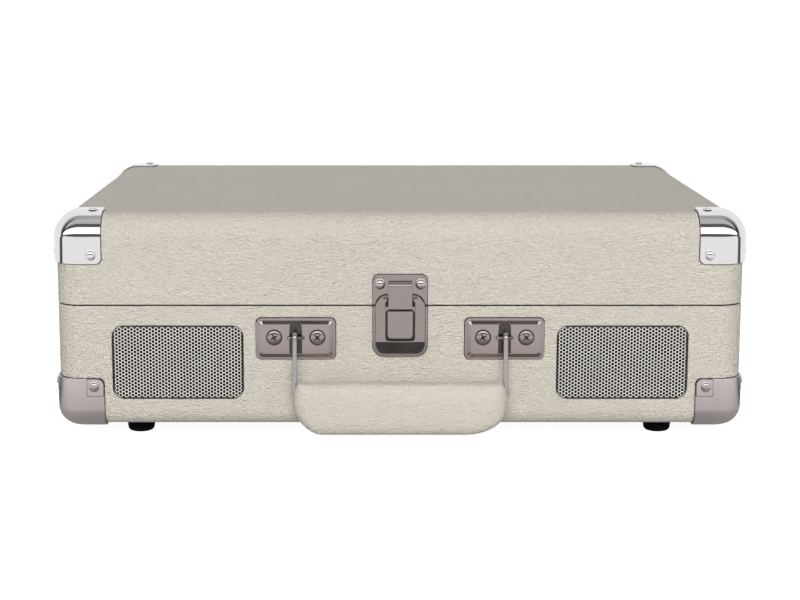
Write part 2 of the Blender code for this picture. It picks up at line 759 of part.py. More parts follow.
def make_drive(pulley):
    x, y = PULLEY
    motor_top = 0.0656
    profile = [(0, motor_top), (0.005, motor_top), (0.005, 0.064), (MOTOR_RADIUS, 0.064)]
    profile += [(MOTOR_RADIUS, 0.042), (0, 0.042)]
    turned("motor", "steel", profile, (x, y, 0), steps=28)
    crown = 0.0746
    profile = [(0, crown), (PULLEY_RADIUS, crown), (PULLEY_RADIUS, 0.0706), (PULLEY_RADIUS + 0.0014, 0.0706)]
    profile += [(PULLEY_RADIUS + 0.0014, 0.07), (0.001, 0.07), (0.001, motor_top + GAP), (0, motor_top + GAP)]
    turned("motor_pulley", "steel", profile, (x, y, 0), steps=20, parent=pulley)

    # The belt runs round the platter's drive rim and the pulley, on their two outer tangents
    dx, dy = x - SPINDLE[0], y - SPINDLE[1]
    span = hypot(dx, dy)

    def loop(out):
        large, small = DRIVE_RIM_RADIUS + out, PULLEY_RADIUS + out
        lean = 90 - 180 / pi * (large - small) / span  # near enough for so long a span
        points = arc((0, 0), large, lean, 360 - lean, 40) + arc((span, 0), small, -lean, lean, 8)
        turned_points = [((px * dx - py * dy) / span, (px * dy + py * dx) / span) for px, py in points]
        return [(SPINDLE[0] + px, SPINDLE[1] + py) for px, py in turned_points]

    width = 0.0032
    outside, inside = loop(GAP + BELT_THICKNESS), loop(GAP)
    prism("drive_belt", "black_rubber", outside, width, (0, 0, 0.0725), holes=[inside])


# Tonearm


def make_tonearm(swing, lift):
    x, y = ARM_PIVOT
    base = turned(
        "tonearm_base",
        "black_plastic",
        [
            (0.003, 0.084),
            (0.012, 0.084),
            (0.0128, 0.0765),
            (0.0195, 0.0755),
            (0.0205, 0.0745),
            (0.0205, DECK_TOP + GAP),
            (0.003, DECK_TOP + GAP),
        ],
        (x, y, 0),
        ring=True,
    )
    cheek_height = CUE_Z + 0.003 - DECK_TOP - GAP
    cheek_z = DECK_TOP + GAP + cheek_height / 2
    lever_x, lever_y = CUE_LEVER
    pad_place = (lever_x - 0.0024, lever_y, DECK_TOP + GAP + 0.0015)
    join(base, box("cue_pad", None, (0.0172, 0.01, 0.003), pad_place))
    for end in (-1, 1):
        cheek = (0.0016, 0.007, cheek_height)
        join(base, box(f"cue_cheek_{end}", None, cheek, (lever_x + end * 0.0046, lever_y, cheek_z)))

    gimbal = turned(
        "tonearm_gimbal",
        "black_plastic",
        [
            (0, 0.0862),
            (0.0108, 0.0862),
            (0.0112, 0.0858),
            (0.0112, 0.0843),
            (0.0026, 0.0843),
            (0.0026, 0.0705),
            (0, 0.0705),
        ],
        (x, y, 0),
        steps=24,
        parent=swing,
    )
    for end in (-1, 1):
        cheek = (0.002, 0.009, 0.0122)
        join(gimbal, box(f"gimbal_cheek_{end}", None, cheek, (x + end * 0.0085, y, 0.0922), parent=swing))
    where = {"sides": 12, "turn": ALONG_X, "parent": swing}
    cut(gimbal, cylinder("gimbal_bore", None, 0.0013, 0.03, (x, y, ARM_Z), **where))

    head_end = y - ARM_LENGTH
    tube_length = ARM_LENGTH - 0.024
    along_y = {"turn": FACING, "parent": lift}
    tube_centre = (x, y - tube_length / 2 + 0.004, ARM_Z)
    along_y["sides"] = 20
    tube = cylinder("tonearm_tube", "black_plastic", ARM_RADIUS, tube_length, tube_centre, **along_y)
    block_size = (0.0136, 0.030, 0.0096)
    join(tube, box("tonearm_block", None, block_size, (x, y + 0.009, ARM_Z + 0.0003), parent=lift))
    pin = {"sides": 12, "turn": ALONG_X, "parent": lift}
    join(tube, cylinder("tonearm_pin", None, 0.001, 0.0184, (x, y, ARM_Z), **pin))

    shell_length = 0.040
    shell_y = head_end + 0.012
    shell = rounded_block(
        "headshell",
        "black_plastic",
        (0.017, shell_length, 0.0045),
        (x, shell_y, ARM_Z + 0.0025),
        0.004,
        top=0.001,
        steps=(3, 1),
        parent=lift,
    )
    along_y["sides"] = 24
    socket_place = (x, shell_y + 0.0185, ARM_Z)
    cut(shell, cylinder("headshell_socket", None, ARM_RADIUS + GAP, 0.02, socket_place, **along_y))
    finger = (0.014, 0.003, 0.0015)
    join(shell, box("finger_lift", None, finger, (x + 0.0145, shell_y - 0.012, ARM_Z + 0.0025), parent=lift))

    body_size = (0.0115, 0.018, 0.0068)
    body_top = ARM_Z + 0.00025 - GAP
    cartridge = box(
        "cartridge", "red_plastic", body_size, (x, head_end + 0.004, body_top - body_size[2] / 2), parent=lift
    )
    needle_height = body_top - body_size[2] - 0.0816
    needle_z = 0.0816 + needle_height / 2 + 0.0005
    needle = {"sides": 8, "tip_radius": 0.0016, "parent": lift}
    needle_place = (x, head_end, needle_z)
    join(cartridge, cylinder("stylus", None, 0.0004, needle_height + 0.001, needle_place, **needle))


def make_rest_and_lift(platform, lever, clip):
    x = ARM_PIVOT[0]
    shelf = ARM_Z - ARM_RADIUS - GAP
    post_height = shelf - 0.003 - DECK_TOP - GAP
    post = (x, REST_Y, DECK_TOP + GAP + post_height / 2)
    rest = cylinder("armrest", "black_plastic", 0.0055, post_height, post, tip_radius=0.0042, sides=20)
    join(rest, box("armrest_shelf", None, (0.0145, 0.008, 0.0042), (x - 0.00025, REST_Y, shelf - 0.0021)))
    wall_top = CLIP_AXIS[1] - 0.002
    wall_low = shelf - 0.0042
    wall = (0.0024, 0.008, wall_top - wall_low)
    join(rest, box("armrest_wall", None, wall, (CLIP_AXIS[0], REST_Y, (wall_top + wall_low) / 2)))

    barrel = (CLIP_AXIS[0], REST_Y, CLIP_AXIS[1])
    bar = {"sides": 14, "turn": FACING, "parent": clip}
    clip_bar = cylinder("arm_clip", "black_plastic", 0.0016, 0.008, barrel, **bar)
    finger = (CLIP_AXIS[0] + 0.0022, REST_Y, 0.1021)
    join(clip_bar, box("clip_finger", None, (0.002, 0.006, 0.0146), finger, parent=clip))

    top = shelf - 0.0001
    thickness = 0.002
    start, end = 270 + 16, 270 - 56  # measured from +X; the arm rests at 270 and swings towards 220
    outline = arc((0, 0), LIFT_RADIUS + 0.002, start, end, 14)
    outline += arc((0, 0), LIFT_RADIUS - 0.002, end, start, 14)
    bow_place = (*ARM_PIVOT, top - thickness / 2)
    bow = prism("cue_platform", "black_plastic", outline, thickness, bow_place, parent=platform)
    post_low, post_high = 0.061, top - thickness / 2
    post_centre = (*lift_post(), (post_low + post_high) / 2)
    post_length = post_high - post_low
    join(bow, cylinder("cue_post", None, 0.0018, post_length, post_centre, sides=12, parent=platform))

    lx, ly = CUE_LEVER
    barrel = {"sides": 16, "turn": ALONG_X, "parent": lever}
    arm = cylinder("cue_lever", "black_plastic", 0.0026, 0.0069, (lx, ly, CUE_Z), **barrel)
    bar_place = (lx, ly - 0.0115, CUE_Z + 0.0008)
    join(arm, box("cue_finger", None, (0.0036, 0.022, 0.0022), bar_place, parent=lever))
    tip_place = (lx, ly - 0.0225, CUE_Z + 0.0012)
    join(arm, box("cue_pad_tip", None, (0.0068, 0.007, 0.003), tip_place, parent=lever))


# Controls and sockets


def make_knob(name, spot, radius, height, parent):
    x, y = spot
    low = DECK_TOP + GAP
    top = low + height
    profile = [
        (0, top),
        (radius - 0.0014, top),
        (radius - 0.0006, top - 0.0006),
        (radius, low),
        (0.0028, low),
        (0.0028, 0.060),
        (0, 0.060),
    ]
    knob = turned(name, "black_plastic", profile, (x, y, 0), steps=28, parent=parent)
    groove = (0.0012, radius, 0.002)
    cut(knob, box(name + "_mark", None, groove, (x, y + radius * 0.7, top), parent=parent))


def make_switch(name, spot, parent):
    """A slider whose stem passes through the deck's slot."""
    x, y = spot
    low = DECK_TOP + GAP
    cap = rounded_block(
        name,
        "black_plastic",
        (0.010, 0.0065, 0.0036),
        (x, y, low + 0.0018),
        0.0012,
        top=0.0006,
        steps=(2, 1),
        parent=parent,
    )
    join(cap, box(name + "_stem", None, (0.0042, 0.0024, 0.010), (x, y, low - 0.004), parent=parent))


def make_sockets():
    panel = rounded_rectangle(*PANEL_SIZE, 0.0027)
    holes = [arc((x - PANEL_X, 0), 0.0045, 0, 345, 23) for x in RCA_X]
    holes.append(arc((DC_X - PANEL_X, 0), 0.0050, 0, 345, 23))
    centre = (PANEL_X, PANEL_Y, PANEL_Z)
    prism("rear_jack_panel", "black_plastic", panel, 0.002, centre, holes=holes, turn=FACING)

    inside = PANEL_Y - 0.001 - GAP
    depth = 0.012
    middle = (RCA_X[0] + RCA_X[1]) / 2
    body = box("rca_jacks", "black_plastic", (0.030, depth, 0.014), (middle, inside - depth / 2, PANEL_Z))
    for number, x in enumerate(RCA_X):
        where = {"sides": 20, "turn": FACING}
        join(body, cylinder(f"rca_barrel_{number}", None, 0.0041, 0.016, (x, 0.1284, PANEL_Z), **where))
        cut(body, cylinder(f"rca_bore_{number}", None, 0.0016, 0.014, (x, 0.132, PANEL_Z), **where))
    body = box("dc_jack", "black_plastic", (0.012, depth, 0.012), (DC_X, inside - depth / 2, PANEL_Z))
    where = {"sides": 20, "turn": FACING}
    join(body, cylinder("dc_barrel", None, 0.0046, 0.010, (DC_X, 0.1254, PANEL_Z), **where))
    cut(body, cylinder("dc_bore", None, 0.0028, 0.012, (DC_X, 0.127, PANEL_Z), **where))
    join(body, cylinder("dc_pin", None, 0.0009, 0.009, (DC_X, 0.1235, PANEL_Z), sides=10, turn=FACING))


def make_circuit_board():
    x, y, z = 0.105, -0.035, 0.030
    board = box("circuit_board", "circuit", (0.100, 0.060, 0.0016), (x, y, z))
    top = z + 0.0003
    join(board, box("heat_sink", None, (0.022, 0.008, 0.018), (x - 0.030, y + 0.018, top + 0.009)))
    join(board, box("connector", None, (0.018, 0.006, 0.008), (x + 0.030, y - 0.020, top + 0.004)))
    for number, (dx, dy) in enumerate(((0.005, 0.010), (0.020, 0.010), (-0.010, -0.015))):
        place = (x + dx, y + dy, top + 0.007)
        join(board, cylinder(f"capacitor_{number}", None, 0.005, 0.014, place, sides=16))


def make_adapter(adapter):
    """The puck that centres a wide-holed single."""
    low = DECK_TOP - 0.0015 + GAP
    top = low + 0.009
    bore = 0.0038
    profile = [
        (bore, top - 0.002),
        (0.008, top - 0.001),
        (0.013, top),
        (ADAPTER_RADIUS - 0.0015, top),
        (ADAPTER_RADIUS, top - 0.0015),
        (ADAPTER_RADIUS, low),
        (bore, low),
    ]
    turned("adapter_45", "black_plastic", profile, (*ADAPTER, 0), ring=True, steps=36, parent=adapter)


def build():
    hinge = (0, BACK + HINGE_AXIS_OUT, HINGE_AXIS_Z)
    lid = pivot("lid_axis", hinge, CASE)
    hasp = pivot("hasp_axis", (0, FRONT - HASP_AXIS_OUT, HASP_AXIS_Z), lid)
    handle = pivot("handle_axis", (0, FRONT - HANDLE_AXIS_OUT, HANDLE_AXIS_Z), CASE)
    platter = pivot("platter_axis", (*SPINDLE, PLATTER_TOP), CASE)
    pulley = pivot("pulley_axis", (*PULLEY, PLATTER_TOP), CASE)
    swing = pivot("arm_swing_axis", (*ARM_PIVOT, ARM_Z), CASE)
    lift = pivot("arm_lift_axis", (*ARM_PIVOT, ARM_Z), swing)
    platform = pivot("cue_platform_axis", (*ARM_PIVOT, ARM_Z), CASE)
    lever = pivot("cue_lever_axis", (*CUE_LEVER, CUE_Z), CASE)
    clip = pivot("arm_clip_axis", (CLIP_AXIS[0], REST_Y, CLIP_AXIS[1]), CASE)
    adapter = pivot("adapter_axis", (*ADAPTER, DECK_TOP), CASE)

    make_base()
    make_lid(lid)
    make_corners(lid)
    make_feet()
    for side, sign in SIDES:
        make_speaker(side, sign)
        make_bracket(side, sign)
        make_hinge(side, sign, lid)
    make_latch(lid, hasp)
    make_handle(handle)
    make_deck()
    make_platter(platter)
    make_drive(pulley)
    make_tonearm(swing, lift)
    make_rest_and_lift(platform, lever, clip)
    knobs = (
        ("volume_knob", VOLUME_KNOB, 0.011, 0.011),
        ("function_knob", FUNCTION_KNOB, 0.009, 0.010),
        ("pitch_knob", PITCH_KNOB, 0.009, 0.010),
    )
    for name, spot, radius, height in knobs:
        make_knob(name, spot, radius, height, pivot(name + "_axis", (*spot, DECK_TOP), CASE))
    for name, spot in (("speed_switch", SPEED_SWITCH), ("autostop_switch", AUTOSTOP_SWITCH)):
        make_switch(name, spot, pivot(name + "_axis", (*spot, DECK_TOP), CASE))
    make_sockets()
    make_circuit_board()
    make_adapter(adapter)


build()
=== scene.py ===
"""The looks of a suitcase record player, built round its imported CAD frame.

Metres, +Z up, the front facing -Y. Every piece is a mesh in the frame's own coordinates, so each object
sits at the origin and rides on the body whose CAD node it stands for.
"""

import json
from math import acos, asin, copysign, cos, degrees, hypot, pi, radians, sin, sqrt, tan

import bmesh
import bpy
from mathutils import Matrix, Vector


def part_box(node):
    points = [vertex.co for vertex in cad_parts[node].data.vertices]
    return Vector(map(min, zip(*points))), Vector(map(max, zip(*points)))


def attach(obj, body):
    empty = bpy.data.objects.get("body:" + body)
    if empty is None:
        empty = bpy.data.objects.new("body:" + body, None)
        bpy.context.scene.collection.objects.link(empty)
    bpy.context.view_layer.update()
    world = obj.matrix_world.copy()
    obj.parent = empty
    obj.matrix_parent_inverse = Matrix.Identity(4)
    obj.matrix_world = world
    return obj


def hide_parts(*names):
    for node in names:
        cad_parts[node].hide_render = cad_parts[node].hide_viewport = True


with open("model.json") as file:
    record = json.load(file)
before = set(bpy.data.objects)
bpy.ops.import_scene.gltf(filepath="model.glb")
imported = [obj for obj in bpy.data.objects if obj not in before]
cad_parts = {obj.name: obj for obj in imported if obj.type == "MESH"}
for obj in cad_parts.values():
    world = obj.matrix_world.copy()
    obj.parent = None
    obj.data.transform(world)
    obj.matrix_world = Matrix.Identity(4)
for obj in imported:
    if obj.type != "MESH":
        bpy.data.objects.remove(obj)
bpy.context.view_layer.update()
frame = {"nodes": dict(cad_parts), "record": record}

BODIES = {node: body for body, nodes in frame["record"]["behaviour"]["bodies"].items() for node in nodes}
JOINTS = {joint["name"]: joint for joint in frame["record"]["behaviour"]["joints"]}
SIDES = (("left", -1), ("right", 1))
ENDS = (("front", -1), ("back", 1))

# The case, as the frame has it
TUB_LOW, TUB_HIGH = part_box("base_tub")
LID_LOW, LID_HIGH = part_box("lid_shell")
HALF_WIDTH = (TUB_HIGH.x - TUB_LOW.x) / 2
HALF_DEPTH = (TUB_HIGH.y - TUB_LOW.y) / 2
MIDDLE_Y = (TUB_HIGH.y + TUB_LOW.y) / 2
FRONT = TUB_LOW.y
BACK = TUB_HIGH.y
CORNER_RADIUS = 0.0135
CORNER_STEPS = 16
EDGE_STEPS = 14
TOP_RADIUS = 0.013
TOP_SWEEP = 80  # degrees: the top panel starts in a crease before the rounding is level
BOTTOM_RADIUS = 0.009
RIM_RADIUS = 0.0004
TUB_EASE = 0.0003  # how far the covered rims stay back from the seam
LID_EASE = 0.00006
WALL = 0.007
LID_WALL = 0.006
LID_ROOF = 0.005
ROOF_FILLET = 0.006
CREASE = 0.00016
LINING_EDGE = 0.0016  # the lining stops this far above the lid's rim
WINDOW_ROLL = 0.0006
GRILLE_SIZE = (0.0686, 0.039)
GRILLE_CORNER = 0.0058
PANEL_CORNER = 0.003
GAP = 0.0003
DECK_TOP = 0.069


# Shapes


def arc(centre, radius, start, end, count):
    """Points of an arc between two angles in degrees."""
    cx, cy = centre
    angles = [radians(start + (end - start) * i / count) for i in range(count + 1)]
    return [(cx + radius * cos(a), cy + radius * sin(a)) for a in angles]


def rounded_rectangle(width, height, radius, steps=8, centre=(0, 0)):
    """Anticlockwise from the lower right corner; radius is one value, or one for each corner."""
    radii = radius if isinstance(radius, (tuple, list)) else (radius,) * 4
    points = []
    for (sx, sy), start, r in zip(((1, -1), (1, 1), (-1, 1), (-1, -1)), (-90, 0, 90, 180), radii):
        middle = (centre[0] + sx * (width / 2 - r), centre[1] + sy * (height / 2 - r))
        points += arc(middle, r, start, start + 90, steps)
    return points


def mirrored(half):
    """A closed outline from its right half, which runs from the bottom to the top."""
    return half + [(-x, y) for x, y in reversed(half) if abs(x) > 1e-9]


def facing(outline, y):
    """A flat outline in X and Z, standing at a depth."""
    return [(x, y, z) for x, z in outline]


def loft(rings, closed=False, caps=True, materials=None):
    """A skin over rings of equally many points. materials gives each band between rings its slot."""
    bm = bmesh.new()
    made = [[bm.verts.new(point) for point in ring] for ring in rings]
    bands = list(zip(made, made[1:]))
    if closed:
        bands.append((made[-1], made[0]))
    slots = materials or [0] * len(bands)
    for (low, high), slot in zip(bands, slots):
        for i in range(len(low)):
            j = (i + 1) % len(low)
            bm.faces.new((low[i], low[j], high[j], high[i])).material_index = slot
    if caps and not closed:
        bm.faces.new(made[0]).material_index = slots[0]
        bm.faces.new(made[-1]).material_index = slots[-1]
    return bm


def prism(outline, low, high):
    """An outline in X and Z, filled from one depth along Y to another."""
    return loft([facing(outline, low), facing(outline, high)])


def slab(outline, low, high):
    """An outline in X and Y, filled from one height to another."""
    return loft([[(x, y, low) for x, y in outline], [(x, y, high) for x, y in outline]])


def block(low, high):
    outline = [(low[0], low[1]), (high[0], low[1]), (high[0], high[1]), (low[0], high[1])]
    return slab(outline, low[2], high[2])


def moved(bm, place):
    """The shape, placed by a matrix."""
    bmesh.ops.transform(bm, matrix=place, verts=bm.verts)
    return bm


def lathe(profile, steps=48, closed=False, place=Matrix()):
    """A profile of (radius, height) turned about Z, then placed by a matrix."""
    turns = [2 * pi * i / steps for i in range(steps)]
    rings = [[(r * cos(a), r * sin(a), z) for a in turns] for r, z in profile]
    bm = loft(rings, closed=closed, caps=False)
    bmesh.ops.remove_doubles(bm, verts=bm.verts, dist=1e-7)
    bmesh.ops.dissolve_degenerate(bm, edges=bm.edges, dist=1e-7)
    return moved(bm, place)


def at(x, y, z):
    return Matrix.Translation((x, y, z))


def to_front(x, y, z):
    """Places a turned shape with its height pointing out of the front."""
    return at(x, y, z) @ Matrix.Rotation(pi / 2, 4, "X")


def centre_of(node):
    low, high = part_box(node)
    return (low + high) / 2


def upright(node):
    """Places a turned shape on a node's upright axis."""
    middle = centre_of(node)
    return at(middle.x, middle.y, 0)


def sweep(points, radius, sides=16):
    """A round rod along a smooth line of points, with closed ends."""
    line = [Vector(p) for p in points]
    rings = []
    side = None
    for i, point in enumerate(line):
        ahead = (line[min(i + 1, len(line) - 1)] - line[max(i - 1, 0)]).normalized()
        if side is None:
            side = ahead.orthogonal().normalized()
        side = (side - ahead * side.dot(ahead)).normalized()
        up = ahead.cross(side)
        turns = [2 * pi * k / sides for k in range(sides)]
        rings.append([point + (side * cos(a) + up * sin(a)) * radius for a in turns])
    return loft(rings)


def mesh_of(bm, name="shape"):
    """Turns a shape into mesh data and frees it."""
    mesh = bpy.data.meshes.new(name)
    bm.to_mesh(mesh)
    bm.free()
    return mesh


def linked(name, data):
    """A new object in the scene."""
    obj = bpy.data.objects.new(name, data)
    bpy.context.collection.objects.link(obj)
    return obj


def merged(*shapes):
    """One bmesh that holds several shapes side by side."""
    whole = shapes[0]
    for shape in shapes[1:]:
        mesh = mesh_of(shape)
        whole.from_mesh(mesh)
        bpy.data.meshes.remove(mesh)
    return whole


def boolean(kept, tool, operation="DIFFERENCE"):
    """The first shape cut by the second, joined to it, or kept where they meet."""
    objects = []
    for shape in (kept, tool):
        bmesh.ops.recalc_face_normals(shape, faces=shape.faces)
        objects.append(linked("shape", mesh_of(shape)))
    modifier = objects[0].modifiers.new("shape", "BOOLEAN")
    modifier.operation = operation
    modifier.solver = "EXACT"
    modifier.object = objects[1]
    evaluated = objects[0].evaluated_get(bpy.context.evaluated_depsgraph_get())
    made = bmesh.new()
    made.from_mesh(evaluated.to_mesh())
    evaluated.to_mesh_clear()
    for obj in objects:
        mesh = obj.data
        bpy.data.objects.remove(obj)
        bpy.data.meshes.remove(mesh)
    return made


def soften(bm, width, segments=2, angle=40):
    """Rounds every edge that is sharper than an angle."""
    bmesh.ops.remove_doubles(bm, verts=bm.verts, dist=1e-7)
    bmesh.ops.recalc_face_normals(bm, faces=bm.faces)
    bmesh.ops.dissolve_limit(bm, angle_limit=radians(0.5), verts=bm.verts, edges=bm.edges)
    edges = [e for e in bm.edges if e.is_manifold and e.calc_face_angle(0) > radians(angle)]
    bmesh.ops.bevel(
        bm, geom=edges, offset=width, segments=segments, profile=0.5, affect="EDGES", clamp_overlap=True
    )
    return bm


def painted(bm, slot):
    """The shape with all its faces in one material slot."""
    for face in bm.faces:
        face.material_index = slot
    return bm


def flipped(bm, x_sign, y_sign):
    """The shape mirrored about the case's middle planes."""
    return moved(bm, at(0, MIDDLE_Y, 0) @ Matrix.Diagonal((x_sign, y_sign, 1, 1)) @ at(0, -MIDDLE_Y, 0))


def piece(name, bm, materials, replaces=(), body=None, sharp=35, flat=False):
    """Makes a shape an object that rides on its node's body and stands for its nodes."""
    nodes = (replaces,) if isinstance(replaces, str) else tuple(replaces)
    bmesh.ops.remove_doubles(bm, verts=bm.verts, dist=1e-7)
    bmesh.ops.recalc_face_normals(bm, faces=bm.faces)
    mesh = mesh_of(bm, name)
    for material in materials if isinstance(materials, (tuple, list)) else (materials,):
        mesh.materials.append(material)
    mesh.shade_smooth()
    mesh.set_sharp_from_angle(angle=radians(sharp))
    obj = linked(name, mesh)
    if not flat:
        weighted = obj.modifiers.new("even_shading", "WEIGHTED_NORMAL")
        weighted.keep_sharp = True
        weighted.weight = 50
    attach(obj, body or BODIES[nodes[0]])
    if nodes:
        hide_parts(*nodes)
    return obj


def copy_of(node):
    """A CAD node's own shape, cleaned, as the start of a finer one."""
    bm = bmesh.new()
    bm.from_mesh(frame["nodes"][node].data)
    bmesh.ops.remove_doubles(bm, verts=bm.verts, dist=1e-6)
    bmesh.ops.dissolve_limit(bm, angle_limit=radians(0.5), verts=bm.verts, edges=bm.edges)
    return bm


def refine(node, material, width):
    """A CAD node whose shape is right, with its edges rounded."""
    piece(node + "_fine", soften(copy_of(node), width), material, node)


# Materials


class Tree:
    """A node tree and the few nodes the materials and the light are built from."""

    def __init__(self, tree):
        self.nodes = tree.nodes
        self.links = tree.links

    def put(self, target, value):
        """Links a socket into another, or sets its value."""
        if isinstance(value, bpy.types.NodeSocket):
            self.links.new(value, target)
        else:
            target.default_value = value

    def node(self, kind, inputs=(), **settings):
        made = self.nodes.new("ShaderNode" + kind)
        for name, value in settings.items():
            setattr(made, name, value)
        for key, value in dict(inputs).items():
            self.put(made.inputs[key], value)
        return made

    def maths(self, operation, a, b=0.0):
        return self.node("Math", {0: a, 1: b}, operation=operation).outputs[0]

    def spread(self, value, low, high, to_low=0.0, to_high=1.0):
        """A value's range mapped to another."""
        inputs = {"Value": value, "From Min": low, "From Max": high, "To Min": to_low, "To Max": to_high}
        return self.node("MapRange", inputs).outputs[0]

    def mix(self, data_type, kind, amount, first, second):
        """One colour or vector turning into another. The sockets are named after their kind."""
        made = self.node("Mix", data_type=data_type)
        sockets = {socket.identifier: socket for socket in [*made.inputs, *made.outputs]}
        for name, value in (("Factor_Float", amount), ("A_" + kind, first), ("B_" + kind, second)):
            self.put(sockets[name], value)
        return sockets["Result_" + kind]

    def ramp(self, angle, stops):
        """An angle looked up in a table of (degrees, result), from 0 to 180 degrees."""
        made = self.node("ValToRGB", {0: self.maths("DIVIDE", angle, 180)})
        elements = made.color_ramp.elements
        while len(elements) < len(stops):
            elements.new(0.5)
        for element, (degree, result) in zip(elements, stops):
            element.position = degree / 180
            element.color = (result, result, result, 1)
        return made.outputs[0]


class Shader(Tree):
    """A node material with a Principled BSDF, whose textures lie in the object's own coordinates."""

    def __init__(self, name, colour, roughness, metallic=0.0, **sockets):
        self.material = bpy.data.materials.new(name)
        self.material.use_nodes = True
        self.material.diffuse_color = (*colour, 1)
        super().__init__(self.material.node_tree)
        self.bsdf = self.nodes["Principled BSDF"]
        self.set("Base Color", (*colour, 1))
        self.set("Roughness", roughness)
        self.set("Metallic", metallic)
        for socket, value in sockets.items():
            self.set(socket.replace("_", " "), value)
        self.place = self.nodes.new("ShaderNodeTexCoord").outputs["Object"]

    def set(self, socket, value):
        self.put(self.bsdf.inputs[socket], value)

    def scaled(self, x, y, z, source=None):
        """Coordinates stretched by a factor along each axis."""
        source = source or self.place
        return self.node("Mapping", {"Vector": source, "Scale": (x, y, z)}).outputs[0]

    def noise(self, scale, detail=2.0, rough=0.5, distortion=0.0, place=None):
        inputs = {"Vector": place or self.place, "Scale": scale, "Detail": detail, "Roughness": rough}
        return self.node("TexNoise", {**inputs, "Distortion": distortion}).outputs["Fac"]

    def cells(self, scale, place):
        """How far each place is from the middle of the nearest of many round-edged cells."""
        inputs = {"Vector": place, "Scale": scale}
        return self.node("TexVoronoi", inputs, feature="SMOOTH_F1").outputs["Distance"]

    def blend(self, amount, *colours):
        """One colour turning into another."""
        ends = [(*colour, 1) if isinstance(colour, tuple) else colour for colour in colours]
        return self.mix("RGBA", "Color", amount, *ends)

    def bump(self, height, distance):
        inputs = {"Height": height, "Distance": distance, "Strength": 1.0}
        if self.bsdf.inputs["Normal"].is_linked:
            inputs["Normal"] = self.bsdf.inputs["Normal"].links[0].from_socket
        self.set("Normal", self.node("Bump", inputs).outputs[0])


def leatherette(name, colour, grain=1.0, mottle=0.08):
    """Pebbled vinyl cloth, with its grain running along the case."""
    shader = Shader(name, colour, 0.5, Specular_IOR_Level=0.35)
    normal = shader.node("NewGeometry").outputs["Normal"]
    sideways = shader.node("SeparateXYZ", {0: normal}).outputs["X"]
    on_side = shader.maths("GREATER_THAN", shader.maths("ABSOLUTE", sideways), 0.75)
    turned = shader.node("VectorRotate", {"Vector": shader.place, "Angle": pi / 2}, rotation_type="Z_AXIS")
    along = shader.mix("VECTOR", "Vector", on_side, shader.place, turned.outputs[0])
    place = shader.scaled(0.45, 0.5, 1.0, along)
    wander = shader.node("TexNoise", {"Vector": place, "Scale": 700.0, "Detail": 1.0})
    shift = shader.node("VectorMath", {0: wander.outputs["Color"], 1: (0.0006,) * 3}, operation="MULTIPLY")
    bent = shader.node("VectorMath", {0: place, 1: shift.outputs[0]}, operation="ADD").outputs[0]
    pebbles = shader.cells(1500.0, bent)
    wrinkles = shader.noise(2200.0, 1.0, 0.5, 0.2, bent)
    height = shader.maths("SUBTRACT", shader.maths("MULTIPLY", wrinkles, 1.4), pebbles)
    shader.bump(height, 0.0007 * grain)
    # painted shade: the grain's low places take this darker colour
    deep = tuple(0.94 * c for c in colour)
    pale = tuple(min(1.05 * c, 1) for c in colour)
    patches = shader.spread(shader.noise(9.0, 2.0), 0.3, 0.7)
    flecks = shader.spread(shader.noise(420.0, 3.0, 0.7, 0.0, place), 0.35, 0.65)
    tone = shader.blend(patches, tuple(0.985 * c for c in colour), pale)
    tone = shader.blend(shader.maths("MULTIPLY", flecks, mottle), tone, tuple(0.8 * c for c in colour))
    shader.set("Base Color", shader.blend(shader.spread(height, 0.45, 0.0), tone, deep))
    shader.set("Roughness", shader.spread(wrinkles, 0.3, 0.7, 0.45, 0.6))
    return shader.material


def metal(name, colour, roughness, wave=0.0, brushed=0.0, share=1.0):
    """Plated sheet: faint waves of the pressing, smudges, and optional brushing."""
    shader = Shader(name, colour, roughness, share)
    smudge = shader.noise(90.0, 4.0, 0.6)
    shader.set("Roughness", shader.spread(smudge, 0.35, 0.75, roughness, roughness + 0.04))
    if wave:
        shader.bump(shader.noise(140.0, 1.0), wave)
    if brushed:
        streaks = shader.noise(1.0, 3.0, 0.7, place=shader.scaled(5200.0, 5200.0, 90.0))
        shader.bump(streaks, brushed)
    return shader.material


def plastic(name, colour, roughness, texture=0.00004, scale=2600.0, shine=0.5):
    """Moulded plastic with a fine spark-eroded texture."""
    shader = Shader(name, colour, roughness, Specular_IOR_Level=shine)
    shader.bump(shader.noise(scale, 2.0, 0.6), texture)
    wear = shader.noise(60.0, 4.0, 0.6)
    shader.set("Roughness", shader.spread(wear, 0.3, 0.7, roughness - 0.05, roughness + 0.05))
    tone = tuple(min(1.25 * c + 0.002, 1) for c in colour)
    shader.set("Base Color", shader.blend(shader.spread(wear, 0.45, 0.8), colour, tone))
    return shader.material


def cloth(name, colour, scale, height, fuzz):
    """Short-haired or woven cloth."""
    shader = Shader(name, colour, 0.95, Sheen_Weight=fuzz, Sheen_Roughness=0.5)
    fibres = shader.noise(scale, 4.0, 0.7)
    shader.bump(fibres, height)
    pale = tuple(min(1.8 * c + 0.004, 1) for c in colour)
    shader.set("Base Color", shader.blend(shader.spread(fibres, 0.4, 0.75), colour, pale))
    return shader.material


def fibreboard(name, colour):
    shader = Shader(name, colour, 0.8)
    fibres = shader.noise(900.0, 5.0, 0.7, 1.0)
    dark = tuple(0.6 * c for c in colour)
    shader.set("Base Color", shader.blend(shader.spread(fibres, 0.35, 0.7), colour, dark))
    shader.bump(fibres, 0.00005)
    return shader.material


